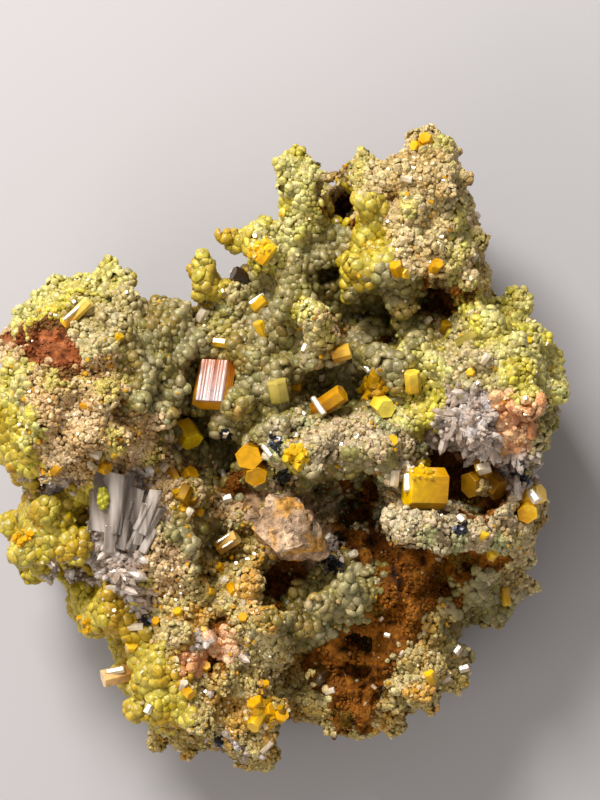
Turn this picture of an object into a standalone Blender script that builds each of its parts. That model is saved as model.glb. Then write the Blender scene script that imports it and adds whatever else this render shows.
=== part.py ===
"""Pyromorphite specimen: a hand-sized lump of limonite and quartz rock, crusted with botryoidal
pyromorphite, with hexagonal prisms standing on the crust and a sheaf of clear blades.

The lump lies on its trimmed back. X runs to the right and Y to the top of the display face, and
Z points out of that face. Positions and sizes below are millimetres, and MM turns them to metres.
"""

import math

import bmesh
import bpy
from mathutils import Euler, Matrix, Vector, noise
from mathutils.bvhtree import BVHTree

MM = 0.001

# The rock's masses, as (centre x, y, z), (half size x, y, z). The display face is their top.
ROCK_MASSES = {
    "back": [
        ((-19.6, 5.5, 3.0), (9.6, 11.4, 9.0)), ((-17.5, -6.5, 3.0), (9.0, 9.5, 8.5)),
        ((-9.0, -21.0, 3.0), (7.2, 9.5, 8.0)), ((8.0, -18.5, 3.0), (9.4, 10.5, 8.0)),
        ((16.5, -5.0, 3.0), (10.0, 10.0, 8.0)), ((20.0, 8.0, 3.0), (9.0, 9.0, 9.0)),
        ((2.0, 5.0, 3.0), (16.0, 13.0, 8.0)), ((14.4, 24.0, 3.0), (5.6, 8.5, 8.0)),
        ((4.0, 20.5, 3.0), (6.0, 7.0, 8.0)),
    ],
    "left shoulder": [
        ((-20.5, 7.0, 13.0), (10.3, 12.4, 14.0)),
        ((-25.0, 3.0, 12.0), (6.2, 7.2, 12.5)),
    ],
    "valley floor": [
        ((-12.5, 9.5, 10.5), (4.0, 7.8, 9.0)),
        ((-3.5, 9.0, 9.5), (7.5, 8.0, 9.0)),
        ((0.0, -3.0, 7.5), (15.0, 15.0, 8.0)),
    ],
    "basin floor": [((9.8, 12.4, 5.8), (6.0, 6.5, 7.4)), ((18.2, -2.2, 5.8), (6.0, 5.0, 7.0))],
    "nose ridge": [((1.8, 16.4, 12.5), (2.4, 2.6, 9.5)), ((4.4, 12.8, 13.0), (2.6, 3.0, 10.0))],
    "top wall": [
        ((2.5, 20.5, 11.5), (5.0, 6.4, 8.0)),
        ((5.6, 26.0, 9.5), (3.8, 4.3, 5.0)),
    ],
    "tower": [
        ((9.7, 28.0, 14.5), (3.0, 4.0, 8.0)),
        ((8.6, 21.0, 12.5), (3.0, 4.4, 8.5)),
        ((15.8, 29.2, 16.5), (3.4, 5.8, 9.0)),
        ((17.4, 24.6, 14.5), (3.6, 7.6, 9.0)),
        ((13.0, 21.5, 14.0), (4.6, 4.6, 9.5)),
        ((19.0, 18.5, 12.5), (3.8, 5.0, 9.5)),
    ],
    "right shoulder": [
        ((22.8, 8.5, 13.0), (7.3, 7.6, 13.0)),
        ((20.5, 3.5, 12.0), (8.2, 6.0, 12.0)),
        ((24.0, -6.0, 10.5), (4.4, 7.0, 10.0)),
        ((13.5, 9.0, 12.0), (4.6, 6.0, 11.5)),
    ],
    "ledge": [
        ((2.5, 1.4, 14.0), (7.2, 4.2, 12.0)),
        ((10.5, 2.2, 14.0), (5.5, 4.4, 11.0)),
        ((14.6, -6.2, 17.5), (4.2, 3.2, 10.5)),
        ((20.0, -8.0, 14.5), (5.0, 3.0, 8.5)),
        ((0.4, -7.0, 15.0), (3.6, 4.0, 11.0)),
    ],
    "left foot": [
        ((-14.5, -8.0, 11.0), (6.6, 9.5, 13.0)),
        ((-24.5, -7.6, 10.0), (3.9, 5.9, 10.0)),
        ((-21.0, -15.6, 9.0), (2.5, 2.4, 6.0)),
        ((-17.8, -16.6, 10.0), (2.6, 3.4, 8.0)),
        ((-10.4, -22.0, 10.0), (6.6, 9.6, 11.5)),
        ((-3.6, -26.0, 9.0), (3.9, 8.4, 10.0)),
        ((-2.5, -17.0, 10.0), (6.0, 7.0, 11.0)),
    ],
    "rust slope": [
        ((9.5, -15.5, 8.5), (10.5, 10.5, 10.0)),
        ((7.6, -24.8, 8.0), (6.2, 6.2, 8.5)),
        ((14.6, -23.0, 9.0), (4.2, 5.2, 8.5)),
        ((18.5, -13.0, 8.5), (6.2, 5.2, 8.0)),
        ((6.6, -14.7, 15.5), (3.2, 2.1, 7.5)),
    ],
}

# The hollows cut into the display face, as (centre), (half sizes), turn about Z in degrees.
HOLLOWS = {
    "vug under the ledge": [((8.2, -4.4, 20.5), (3.7, 3.3, 11.5), 0)],
    "gully": [((10.6, -9.4, 21.5), (2.0, 4.4, 9.0), 35)],
    "deep pocket": [((-6.6, 1.2, 21.5), (2.8, 4.8, 13.0), 12)],
    "lower pocket": [((0.0, -13.6, 21.0), (2.6, 3.0, 9.5), 0)],
    "right vug": [((17.6, -1.6, 22.0), (2.4, 3.0, 11.5), 0), ((21.0, -3.8, 21.0), (3.0, 1.9, 9.5), 0)],
    "arch": [((16.9, 16.8, 22.5), (2.1, 2.6, 11.0), 0)],
    "valley gaps": [((11.6, 12.8, 22.0), (1.9, 1.5, 10.5), 0), ((8.2, 14.6, 22.0), (1.2, 3.0, 8.5), 0)],
    "wall recesses": [
        ((6.4, 26.4, 20.0), (1.8, 3.2, 11.0), 0),
        ((12.3, 28.4, 25.0), (0.9, 3.0, 7.0), -8),
        ((5.0, 20.0, 21.5), (1.9, 1.9, 8.0), 0),
    ],
    "rust pocket": [((-25.6, 12.6, 27.5), (3.6, 2.6, 5.0), 20)],
    "lobe gap": [((-21.2, -7.3, 20.0), (1.1, 1.4, 7.0), 0)],
    "rust clefts": [((8.6, -21.4, 19.0), (1.5, 4.6, 5.5), 0), ((17.0, -14.2, 18.5), (3.2, 1.8, 5.5), 0)],
}

# Botryoidal knobs that stand clear of the rock, as (centre x, y, z), radius.
FREE_KNOBS = {
    "finger": [
        ((1.6, 24.6, 17.5), 2.3), ((1.4, 27.0, 19.5), 2.1), ((1.3, 29.2, 20.5), 1.8),
        ((0.9, 31.2, 21.0), 1.5), ((2.4, 31.2, 20.5), 1.4), ((3.9, 29.9, 16.5), 1.5),
        ((4.8, 30.4, 15.5), 0.9), ((4.2, 26.4, 18.0), 1.9),
    ],
    "wall knobs": [
        ((-5.0, 23.1, 17.5), 1.5), ((-3.1, 24.4, 17.0), 1.2), ((-1.8, 25.4, 16.5), 1.1),
        ((-2.0, 22.4, 20.0), 2.1), ((0.2, 24.0, 18.5), 1.5), ((-0.6, 20.9, 17.0), 2.0),
    ],
    "stalk": [
        ((-8.4, 19.9, 16.5), 1.7), ((-7.9, 21.1, 16.5), 1.2), ((-8.1, 18.2, 16.0), 1.2),
        ((-6.8, 18.3, 15.0), 1.0), ((-5.4, 18.9, 14.5), 1.3), ((-4.1, 19.6, 14.5), 1.7),
        ((-2.6, 19.8, 14.0), 1.9), ((-5.2, 17.4, 15.5), 1.7),
    ],
    "shoulder top": [
        ((-18.9, 20.1, 15.0), 1.5), ((-17.2, 18.4, 17.0), 1.3), ((-20.8, 18.7, 17.5), 1.4),
        ((-23.4, 17.9, 17.0), 1.5), ((-25.6, 16.6, 16.0), 1.4), ((-28.1, 14.4, 15.0), 1.5),
        ((-29.6, 11.6, 14.5), 1.4), ((-29.4, 4.0, 15.0), 1.6),
    ],
    "tower top": [
        ((15.4, 33.8, 19.0), 1.5), ((14.1, 32.4, 19.0), 1.3), ((17.2, 33.4, 18.5), 1.4),
        ((18.7, 32.6, 17.5), 1.1), ((11.9, 31.4, 18.5), 1.2), ((8.4, 31.0, 17.5), 1.6),
        ((7.4, 30.0, 17.0), 1.3), ((10.0, 30.4, 19.5), 1.7), ((19.6, 27.2, 17.5), 1.2),
        ((20.6, 23.4, 16.5), 1.4), ((21.8, 19.6, 15.0), 1.5),
        ((24.2, 16.2, 14.0), 1.6), ((22.6, 17.4, 13.5), 1.4),
    ],
    "right rim": [
        ((29.6, 10.6, 15.5), 1.5), ((29.2, 8.0, 17.0), 1.9), ((28.2, 12.8, 15.5), 1.7),
        ((27.4, 3.2, 16.5), 2.1), ((27.2, 0.6, 14.5), 1.7), ((27.6, -4.8, 13.5), 1.7),
        ((26.4, -10.4, 11.5), 1.5),
        ((26.8, -14.0, 9.5), 1.4), ((24.9, -14.6, 9.5), 1.6),
    ],
    "lower rim": [
        ((20.6, -17.2, 10.0), 1.6), ((18.6, -17.8, 10.5), 1.4), ((22.4, -15.6, 9.5), 1.6),
        ((19.2, -22.8, 11.5), 1.5), ((18.0, -21.0, 12.0), 1.6), ((15.8, -26.4, 12.0), 1.8),
        ((7.4, -29.4, 10.5), 1.7), ((9.6, -28.8, 10.5), 1.5), ((3.2, -28.4, 8.5), 1.4),
        ((12.6, -27.8, 10.0), 1.8),
        ((1.4, -26.6, 9.5), 1.6), ((-0.9, -29.6, 10.0), 1.4), ((-6.8, -31.0, 10.5), 1.6),
        ((-1.8, -33.2, 11.0), 1.7), ((-4.0, -32.6, 11.0), 1.6), ((-9.4, -30.8, 11.0), 1.8),
        ((-13.0, -30.0, 11.0), 1.6), ((-14.2, -28.6, 12.0), 1.2), ((-15.8, -24.2, 13.0), 1.8),
        ((-17.4, -23.5, 12.6), 1.4), ((-16.6, -21.0, 12.0), 1.8),
    ],
    "left lobes": [
        ((-19.5, -18.5, 11.0), 1.4), ((-21.6, -16.0, 12.0), 1.9), ((-22.0, -13.8, 12.0), 1.3),
        ((-27.2, -10.6, 11.5), 1.5), ((-26.2, -12.4, 10.5), 1.2), ((-27.8, -7.4, 12.5), 1.4),
        ((-26.6, -5.4, 14.5), 1.9), ((-28.0, -1.6, 12.0), 1.4),
    ],
}

# Knobs that sit on the rock where it stands under them, as (x, y, radius).
SEATED_KNOBS = {
    "basin": [
        (-4.8, 6.4, 2.2), (-1.2, 6.2, 1.9), (0.9, 5.5, 1.5), (-4.5, 10.2, 1.4), (-2.6, 11.2, 1.3),
        (-0.6, 9.2, 1.7), (1.4, 12.3, 1.6), (-0.5, 13.3, 1.5), (0.4, 15.2, 1.5), (-8.3, 12.3, 1.5),
        (-4.0, 13.0, 1.4), (-1.2, 17.4, 1.8), (-6.9, 15.0, 1.6), (-3.8, 15.3, 1.4), (9.4, 10.8, 1.7),
        (11.8, 10.2, 1.6), (14.2, 14.4, 1.8), (14.6, 11.4, 1.6), (7.2, 8.2, 1.7), (10.4, 8.0, 1.6),
    ],
    "nose": [
        (1.3, 17.5, 2.0), (3.3, 15.3, 2.1), (4.2, 13.2, 2.3), (5.4, 11.4, 1.9), (3.2, 11.4, 1.5),
        (6.3, 15.2, 1.5),
    ],
    "valley": [
        (-12.2, 15.4, 2.1), (-13.4, 12.2, 1.8), (-11.2, 12.2, 1.5), (-12.8, 9.1, 2.3),
        (-10.8, 9.4, 1.3), (-12.4, 6.6, 1.6), (-14.4, 10.0, 1.3),
    ],
    "left shoulder": [
        (-22.4, 10.6, 2.4), (-18.2, 14.4, 2.2), (-16.4, 12.2, 1.8), (-18.0, 10.2, 1.6),
        (-17.4, 7.6, 1.9), (-15.6, 6.0, 1.6), (-13.6, 4.4, 2.0), (-11.7, 3.0, 1.4),
        (-28.0, 8.2, 2.2), (-25.6, 6.4, 2.4), (-28.6, 4.2, 2.0), (-26.0, 2.4, 2.2),
        (-23.0, 4.2, 1.6), (-27.6, 0.4, 1.9), (-24.2, -0.6, 1.8), (-21.6, 1.4, 1.6),
        (-21.5, -3.2, 1.9), (-18.6, 3.0, 1.8), (-19.6, 5.8, 1.6), (-16.2, 2.4, 1.9),
        (-14.4, 0.4, 1.7), (-12.0, -0.6, 1.4), (-10.6, 0.6, 1.4), (-10.4, -3.4, 1.7),
        (-8.6, -6.6, 1.4), (-21.6, 16.4, 1.7), (-25.4, 14.8, 1.3), (-20.2, 12.8, 1.4),
    ],
    "right shoulder": [
        (16.0, 10.2, 2.0), (17.0, 8.0, 1.9), (15.2, 6.4, 1.6), (13.8, 4.4, 1.6), (23.2, 13.4, 2.0),
        (23.8, 11.2, 2.0), (21.4, 10.0, 1.8), (25.0, 9.0, 1.9), (26.3, 11.4, 1.5), (24.8, 6.8, 1.6),
        (25.8, 13.4, 1.4), (28.2, 6.4, 1.7), (20.6, 7.4, 1.7), (18.8, 10.0, 1.5), (25.4, 3.4, 2.5),
        (20.4, 4.6, 2.4), (21.8, 1.4, 1.7), (17.8, 4.4, 1.6), (20.2, 12.4, 1.2), (27.0, 1.2, 1.6),
    ],
    "tower": [
        (8.2, 20.6, 2.0), (7.7, 18.8, 1.8), (9.9, 21.4, 1.8), (9.2, 23.2, 1.4), (9.6, 26.4, 1.6),
        (11.4, 24.4, 1.6), (13.6, 27.8, 1.4), (13.9, 30.1, 1.7), (16.5, 28.6, 1.8), (16.6, 31.4, 1.6),
        (18.7, 30.2, 1.4), (18.6, 26.2, 1.6), (15.0, 23.2, 1.6), (17.3, 22.8, 1.2), (17.9, 20.8, 1.6),
        (12.6, 20.1, 1.5), (15.6, 20.6, 1.2), (14.0, 25.2, 1.5), (20.0, 22.4, 1.3), (11.9, 17.8, 1.5),
    ],
    "ledge": [
        (-2.6, 2.8, 1.2), (0.6, 3.4, 1.5), (-0.6, 0.8, 1.4), (1.8, 0.0, 1.7), (4.2, 1.8, 1.5),
        (6.8, 1.4, 1.7), (9.4, 0.8, 1.7), (10.8, -0.6, 1.5), (8.6, 3.2, 1.4), (12.2, 2.2, 1.6),
        (2.8, -2.4, 1.4), (12.0, -6.2, 1.8), (13.0, -8.2, 1.6), (15.8, -7.9, 1.7), (18.2, -8.7, 1.4),
        (22.8, -9.5, 1.5), (20.8, -7.2, 1.3), (24.0, -6.6, 1.5), (25.2, -3.2, 1.5),
    ],
    "lower ground": [
        (4.5, -15.2, 1.6), (6.4, -13.8, 1.7), (8.3, -14.4, 1.6), (1.6, -17.4, 1.7), (3.3, -18.4, 1.4),
        (-24.0, -6.8, 2.3), (-26.4, -8.4, 1.6), (-22.6, -9.4, 1.9), (-24.6, -10.4, 1.6),
        (-21.9, -5.2, 1.4), (-18.0, -15.8, 2.2), (-17.6, -17.8, 1.6), (-13.4, -23.0, 2.4),
        (-14.0, -26.2, 1.7), (-11.0, -19.4, 1.7), (-8.6, -18.4, 1.5), (-12.2, -15.8, 1.6),
        (-9.8, -14.6, 1.6), (-10.4, -11.8, 1.6), (-11.0, -8.6, 1.9), (-6.4, -11.8, 1.4),
        (-4.0, -12.6, 1.5), (-1.6, -18.4, 1.8), (-4.2, -18.0, 1.6), (-3.4, -21.6, 1.7),
        (-0.6, -21.8, 1.6), (1.4, -23.6, 1.7), (2.6, -25.6, 1.6), (-9.0, -27.4, 2.1),
        (-12.2, -28.0, 1.7), (-6.0, -26.4, 1.7), (-1.8, -26.8, 2.0), (-5.8, -29.6, 1.6),
        (-2.2, -30.4, 1.6), (14.6, -24.4, 2.0), (16.4, -22.4, 1.7), (15.0, -20.2, 1.4),
        (6.9, -27.2, 1.8), (12.2, -13.8, 1.6), (14.2, -17.4, 1.7), (11.6, -17.8, 1.5),
        (5.4, -20.2, 1.7), (5.0, -23.8, 1.6), (20.6, -12.6, 1.6), (23.2, -12.4, 1.5),
    ],
}
KNOB_SINK = 0.25

# How the rock is meshed: the grid it is grown on, its roughness and the triangles that it keeps.
CORE_GRID = 0.9
SKIN_GRID = 0.55
ROUGH_HEIGHT = 0.45
ROUGH_SPACING = 3.2
ROCK_TRIANGLES = 9300
SEAT_GAP = 0.3
CLEAR_HEIGHT = 80.0
SHARP_EDGE_DEGREES = 35.0

# The way that the brightest crystal faces look.
GLINT = Vector((-0.19, 0.37, 0.91)).normalized()

# Hexagonal prisms on the crust: centre (x, y, z), radius, how much wider the crystal is than a
# regular one, length, way that the long axis points, and the way that its broad side face looks.
PRISMS = {
    "striated_prism": ((-7.4, 7.9, 18.6), 1.35, 1.95, 4.9, (-0.13, -0.90, 0.40), GLINT),
    "yellow_block": ((15.5, -3.2, 24.4), 1.60, 1.50, 4.2, (-0.93, 0.03, 0.36), (0.30, -0.10, 0.94)),
    "centre_prism": ((5.1, 6.0, 20.8), 0.95, 0.20, 3.9, (0.76, 0.52, 0.38), (-0.50, 0.60, 0.60)),
    "left_prism": ((-10.1, 2.6, 15.9), 1.20, 0.30, 2.6, (0.45, -0.70, 0.55), (0.10, 0.50, 0.86)),
    "nose_prism": ((6.4, 11.2, 22.5), 0.85, 0.00, 2.0, (0.95, 0.25, 0.10), (0.0, 0.0, 1.0)),
    "basin_prism": ((10.8, 5.6, 22.1), 1.10, 0.00, 2.2, (0.35, -0.30, 0.88), (0.0, 1.0, 0.3)),
    "knoll_prism": ((13.9, 8.2, 24.0), 0.85, 0.00, 2.2, (-0.10, 0.90, 0.42), (0.1, 0.0, 1.0)),
    "shoulder_lath": ((-21.4, 15.4, 24.3), 0.60, 0.10, 3.8, (0.70, 0.66, 0.25), (-0.60, 0.62, 0.50)),
    "rim_prism": ((-17.6, -23.5, 14.8), 0.95, 0.20, 3.6, (-0.93, -0.22, 0.28), GLINT),
    "gully_prism": ((-5.8, -9.1, 15.6), 0.80, 0.20, 2.6, (0.82, 0.52, 0.22), GLINT),
    "wall_prism": ((-1.6, 21.8, 22.8), 0.80, 0.00, 2.4, (0.60, 0.75, 0.28), (-0.55, 0.45, 0.70)),
}
# Prisms that grew through each other, so that each group is one solid.
TWINS = {
    "orange_twin": [
        ((-3.2, 0.3, 21.5), 1.40, 0.20, 2.6, (-0.25, -0.20, 0.95), (0.2, 1.0, 0.2)),
        ((-2.7, -1.4, 21.2), 1.15, 0.20, 2.4, (0.10, -0.45, 0.89), (-0.4, 0.9, 0.3)),
    ],
    "vug_twin": [
        ((21.6, -1.2, 20.2), 0.95, 0.10, 3.2, GLINT, (1.0, 0.3, 0.0)),
        ((20.9, -2.5, 19.2), 1.25, 0.50, 2.6, (-0.70, -0.30, 0.60), (0.3, -0.4, 0.9)),
        ((22.7, -2.8, 19.2), 1.15, 0.30, 2.4, (0.60, -0.50, 0.55), (-0.5, 0.2, 0.85)),
    ],
    "edge_twin": [
        ((26.8, -4.1, 18.7), 1.00, 0.20, 2.8, (0.75, 0.30, 0.58), GLINT),
        ((26.4, -5.5, 18.7), 1.10, 0.20, 2.3, (-0.10, -0.40, 0.91), (-0.6, 0.7, 0.3)),
    ],
}
# The sheaf of clear blades, as (foot x, y), (tip x, y), width and thickness.
BLADES = [
    ((-16.2, -9.6), (-18.3, -1.6), 2.8, 1.3),
    ((-15.6, -9.8), (-16.4, -0.7), 2.4, 1.5),
    ((-15.2, -9.6), (-14.6, -1.8), 2.4, 1.4),
    ((-14.8, -9.4), (-13.2, -3.4), 2.2, 1.3),
    ((-16.4, -9.2), (-19.4, -4.4), 2.4, 1.2),
]
BLADE_FOOT_SINK = 1.6
BLADE_TIP_RISE = 0.9
# Each blade lies a little over the one before it, and narrows to this part of its width.
BLADE_STEP = 0.3
BLADE_TIP_WIDTH = 0.55


def to_metres(point):
    return Vector(point) * MM


def material(name, colour, roughness):
    made = bpy.data.materials.new(name)
    made.use_nodes = True
    shader = made.node_tree.nodes["Principled BSDF"]
    shader.inputs["Base Color"].default_value = (*colour, 1.0)
    shader.inputs["Roughness"].default_value = roughness
    shader.inputs["Metallic"].default_value = 0.0
    return made


def new_object(name, mesh, finish=None):
    obj = bpy.data.objects.new(name, mesh)
    bpy.context.scene.collection.objects.link(obj)
    if finish:
        obj.data.materials.append(finish)
    return obj


def balls(name, shapes, detail):
    """One mesh of ellipsoids, each given as (centre, half sizes, turn about Z in degrees)."""
    bm = bmesh.new()
    for centre, half_sizes, turn in shapes:
        place = (
            Matrix.Translation(to_metres(centre))
            @ Matrix.Rotation(math.radians(turn), 4, "Z")
            @ Matrix.Diagonal((*to_metres(half_sizes), 1.0))
        )
        bmesh.ops.create_icosphere(bm, subdivisions=detail, radius=1.0, matrix=place)
    mesh = bpy.data.meshes.new(name)
    bm.to_mesh(mesh)
    bm.free()
    return new_object(name, mesh)


def modified(obj, kind, **settings):
    """The object with one modifier applied to its mesh."""
    modifier = obj.modifiers.new(kind.title(), kind)
    for key, value in settings.items():
        setattr(modifier, key, value)
    graph = bpy.context.evaluated_depsgraph_get()
    mesh = bpy.data.meshes.new_from_object(obj.evaluated_get(graph))
    obj.modifiers.clear()
    old = obj.data
    obj.data = mesh
    bpy.data.meshes.remove(old)
    return obj


def regrown(obj, grid):
    """Ellipsoids that overlap, made one closed skin on a grid of that spacing."""
    return modified(obj, "REMESH", mode="VOXEL", voxel_size=grid * MM)


def cut(obj, cutter):
    modified(obj, "BOOLEAN", operation="DIFFERENCE", object=cutter, solver="EXACT")
    bpy.data.objects.remove(cutter)


def surface_of(obj):
    return BVHTree.FromObject(obj, bpy.context.evaluated_depsgraph_get())


def seat(surface, x, y):
    """The point of the rock under (x, y), seen from the display side, in millimetres."""
    hit = surface.ray_cast(to_metres((x, y, CLEAR_HEIGHT)), Vector((0.0, 0.0, -1.0)))[0]
    return hit / MM


def seated_knobs(surface):
    shapes = []
    for group in SEATED_KNOBS.values():
        for x, y, radius in group:
            centre = seat(surface, x, y) - Vector((0.0, 0.0, radius * KNOB_SINK))
            shapes.append((centre, (radius,) * 3, 0))
    return shapes


def roughen(obj):
    """Moves the skin in and out by a broken, rocky noise."""
    bm = bmesh.new()
    bm.from_mesh(obj.data)
    bm.normal_update()
    for vert in bm.verts:
        wave = noise.fractal(vert.co / (ROUGH_SPACING * MM), 0.7, 2.1, 3)
        vert.co += vert.normal * wave * ROUGH_HEIGHT * MM
    bm.to_mesh(obj.data)
    bm.free()


def trim_back(obj):
    """Cuts the rock off flat at Z 0, where it was trimmed from the vein, and caps the cut."""
    bm = bmesh.new()
    bm.from_mesh(obj.data)
    every = bm.verts[:] + bm.edges[:] + bm.faces[:]
    bmesh.ops.bisect_plane(
        bm, geom=every, dist=1e-6, plane_co=(0, 0, 0), plane_no=(0, 0, 1), clear_inner=True
    )
    rim = [edge for edge in bm.edges if edge.is_boundary]
    bmesh.ops.holes_fill(bm, edges=rim)
    bmesh.ops.recalc_face_normals(bm, faces=bm.faces)
    bm.to_mesh(obj.data)
    bm.free()


def largest_body(obj):
    """Drops any crumb that the cuts left apart from the main body."""
    bm = bmesh.new()
    bm.from_mesh(obj.data)
    left = set(bm.verts)
    bodies = []
    while left:
        front = [left.pop()]
        body = set(front)
        while front:
            vert = front.pop()
            for edge in vert.link_edges:
                other = edge.other_vert(vert)
                if other in left:
                    left.discard(other)
                    body.add(other)
                    front.append(other)
        bodies.append(body)
    keep = max(bodies, key=len)
    bmesh.ops.delete(bm, geom=[v for v in bm.verts if v not in keep], context="VERTS")
    bm.to_mesh(obj.data)
    bm.free()


def hollowed_core():
    masses = [(c, h, 0) for group in ROCK_MASSES.values() for c, h in group]
    body = regrown(balls("matrix", masses, detail=3), CORE_GRID)
    hollows = [shape for group in HOLLOWS.values() for shape in group]
    cut(body, regrown(balls("hollow_cutter", hollows, detail=3), CORE_GRID))
    return body


def rock():
    body = hollowed_core()
    knobs = [(c, (r,) * 3, 0) for group in FREE_KNOBS.values() for c, r in group]
    knobs += seated_knobs(surface_of(body))
    lumps = balls("knobs", knobs, detail=2)
    bm = bmesh.new()
    bm.from_mesh(body.data)
    bm.from_mesh(lumps.data)
    bm.to_mesh(body.data)
    bm.free()
    bpy.data.objects.remove(lumps)
    regrown(body, SKIN_GRID)
    roughen(body)
    triangles = sum(len(face.vertices) - 2 for face in body.data.polygons)
    modified(body, "DECIMATE", ratio=ROCK_TRIANGLES / triangles, use_collapse_triangulate=True)
    trim_back(body)
    largest_body(body)
    body.data.materials.append(material("pyromorphite_crust", (0.42, 0.40, 0.10), 0.55))
    return body


def prism_turn(axis, bright_side):
    """The turn that lays a prism's length on axis, with a side face towards bright_side."""
    along = Vector(axis).normalized()
    side = Vector(bright_side)
    side = (side - along * side.dot(along)).normalized()
    across = side.cross(along)
    return Matrix((across, side, along)).transposed().to_4x4()


def prism(bm, centre, radius, widening, length, axis, bright_side, grow):
    """A six-sided prism with a broad side face, and not an edge, towards bright_side."""
    half_side = math.pi / 6.0
    face_to_y = Matrix.Rotation(half_side, 4, "Z")
    wall = radius + grow / math.cos(half_side)
    made = bmesh.ops.create_cone(
        bm, cap_ends=True, segments=6, radius1=wall * MM, radius2=wall * MM,
        depth=(length + 2.0 * grow) * MM, matrix=face_to_y,
    )
    half_widening = widening / 2.0 * MM
    for vert in made["verts"]:
        vert.co.x += math.copysign(half_widening, vert.co.x)
    place = Matrix.Translation(to_metres(centre)) @ prism_turn(axis, bright_side)
    bmesh.ops.transform(bm, matrix=place, verts=made["verts"])


def prism_object(name, members, grow, finish=None):
    bm = bmesh.new()
    prism(bm, *members[0], grow)
    mesh = bpy.data.meshes.new(name)
    bm.to_mesh(mesh)
    bm.free()
    obj = new_object(name, mesh, finish)
    for number, member in enumerate(members[1:]):
        partner = prism_object(f"{name}_partner_{number}", [member], grow)
        modified(obj, "BOOLEAN", operation="UNION", object=partner, solver="EXACT")
        bpy.data.objects.remove(partner)
    return obj


def crystals(body):
    """Each crystal, in a socket of the crust that clears it all round."""
    finish = material("orange_pyromorphite", (0.72, 0.38, 0.03), 0.25)
    groups = {name: [facts] for name, facts in PRISMS.items()} | TWINS
    for name, members in groups.items():
        cut(body, prism_object(f"{name}_socket", members, SEAT_GAP))
        prism_object(name, members, 0.0, finish)


def blade(bm, foot, tip, width, thickness, grow):
    """A flat four-sided blade with a chisel end, from foot to tip."""
    along = (tip - foot).normalized()
    turn = prism_turn(along, Vector((0.0, 0.0, 1.0)))
    length = (tip - foot).length
    middle = (foot + tip) / 2.0
    half = Vector((width / 2.0 + grow, thickness / 2.0 + grow, length / 2.0 + grow))
    place = Matrix.Translation(to_metres(middle)) @ turn @ Matrix.Diagonal((*(half * MM), 1.0))
    made = bmesh.ops.create_cube(bm, size=2.0, matrix=place)
    top = [v for v in made["verts"] if (v.co - to_metres(middle)).dot(along) > 0]
    across = turn.to_3x3() @ Vector((1.0, 0.0, 0.0))
    for vert in top:
        away = (vert.co - to_metres(tip)).dot(across)
        vert.co -= across * away * (1.0 - BLADE_TIP_WIDTH)


def blade_sheaf(body, surface):
    def sheaf(name, grow, finish=None):
        whole = None
        for number, (foot, tip, width, thickness) in enumerate(BLADES):
            low = seat(surface, *foot) + Vector((0.0, 0.0, BLADE_STEP * number - BLADE_FOOT_SINK))
            high = seat(surface, *tip) + Vector((0.0, 0.0, BLADE_STEP * number + BLADE_TIP_RISE))
            bm = bmesh.new()
            blade(bm, low, high, width, thickness, grow)
            bmesh.ops.recalc_face_normals(bm, faces=bm.faces)
            mesh = bpy.data.meshes.new(f"{name}_{number}")
            bm.to_mesh(mesh)
            bm.free()
            piece = new_object(name if whole is None else f"{name}_{number}", mesh, finish)
            if whole is None:
                whole = piece
                continue
            modified(whole, "BOOLEAN", operation="UNION", object=piece, solver="EXACT")
            bpy.data.objects.remove(piece)
        return whole

    cut(body, sheaf("sheaf_socket", SEAT_GAP))
    sheaf("clear_blades", 0.0, material("clear_quartz", (0.62, 0.60, 0.60), 0.15))


def clear_scene():
    for obj in list(bpy.data.objects):
        bpy.data.objects.remove(obj)


def main():
    clear_scene()
    body = rock()
    surface = surface_of(body)
    crystals(body)
    blade_sheaf(body, surface)
    largest_body(body)
    for obj in bpy.data.objects:
        obj.data.set_sharp_from_angle(angle=math.radians(SHARP_EDGE_DEGREES))


main()
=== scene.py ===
"""Looks of a pyromorphite specimen: a lump of rusty limonite and quartz under a grape-like crust of
green, yellow and tan pyromorphite, with orange prisms and a sheaf of clear blades standing on it.

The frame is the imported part, in metres: X to the right and Y to the top of the display face, and Z
out of it. Sizes and places below are millimetres, and MM turns them to metres.
"""
import math

import bmesh
import bpy
import numpy as np
from mathutils import Matrix, Vector, noise
from mathutils.bvhtree import BVHTree
from mathutils.kdtree import KDTree


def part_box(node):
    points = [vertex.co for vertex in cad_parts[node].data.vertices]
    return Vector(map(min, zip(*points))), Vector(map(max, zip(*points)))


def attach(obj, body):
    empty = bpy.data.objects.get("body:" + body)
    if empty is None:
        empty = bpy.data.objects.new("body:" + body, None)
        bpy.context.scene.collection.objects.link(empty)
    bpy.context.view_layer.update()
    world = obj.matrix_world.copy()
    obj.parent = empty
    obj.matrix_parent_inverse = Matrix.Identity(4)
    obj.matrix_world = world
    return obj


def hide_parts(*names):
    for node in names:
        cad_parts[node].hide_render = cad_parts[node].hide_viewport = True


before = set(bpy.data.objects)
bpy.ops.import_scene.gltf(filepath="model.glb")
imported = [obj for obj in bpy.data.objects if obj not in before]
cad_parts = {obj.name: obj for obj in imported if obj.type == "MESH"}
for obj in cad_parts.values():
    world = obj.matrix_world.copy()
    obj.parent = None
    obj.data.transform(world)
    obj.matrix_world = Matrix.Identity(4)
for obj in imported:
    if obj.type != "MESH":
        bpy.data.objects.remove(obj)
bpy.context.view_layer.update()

MM = 0.001
rng = np.random.default_rng(5)
# The vector noise takes its offsets from the clock unless it is seeded.
noise.seed_set(5)

# Rock
# The lump is limonite, the rusty oxide that replaces an iron-rich vein, with quartz through it. It is
# spongy and broken, and its back is trimmed flat. The crust of later sections grew on it.
LUMP_TRIES = 5000
LUMP_RADIUS = (0.9, 2.0)
LUMP_CROWDING = 0.80
LUMP_FACING = (0.3, 0.8)
LUMP_RISE = (-0.60, 0.42)
LUMP_GAP = 0.25
STALK_SHARE = 0.36
EDGE_INSET = 0.75
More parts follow.
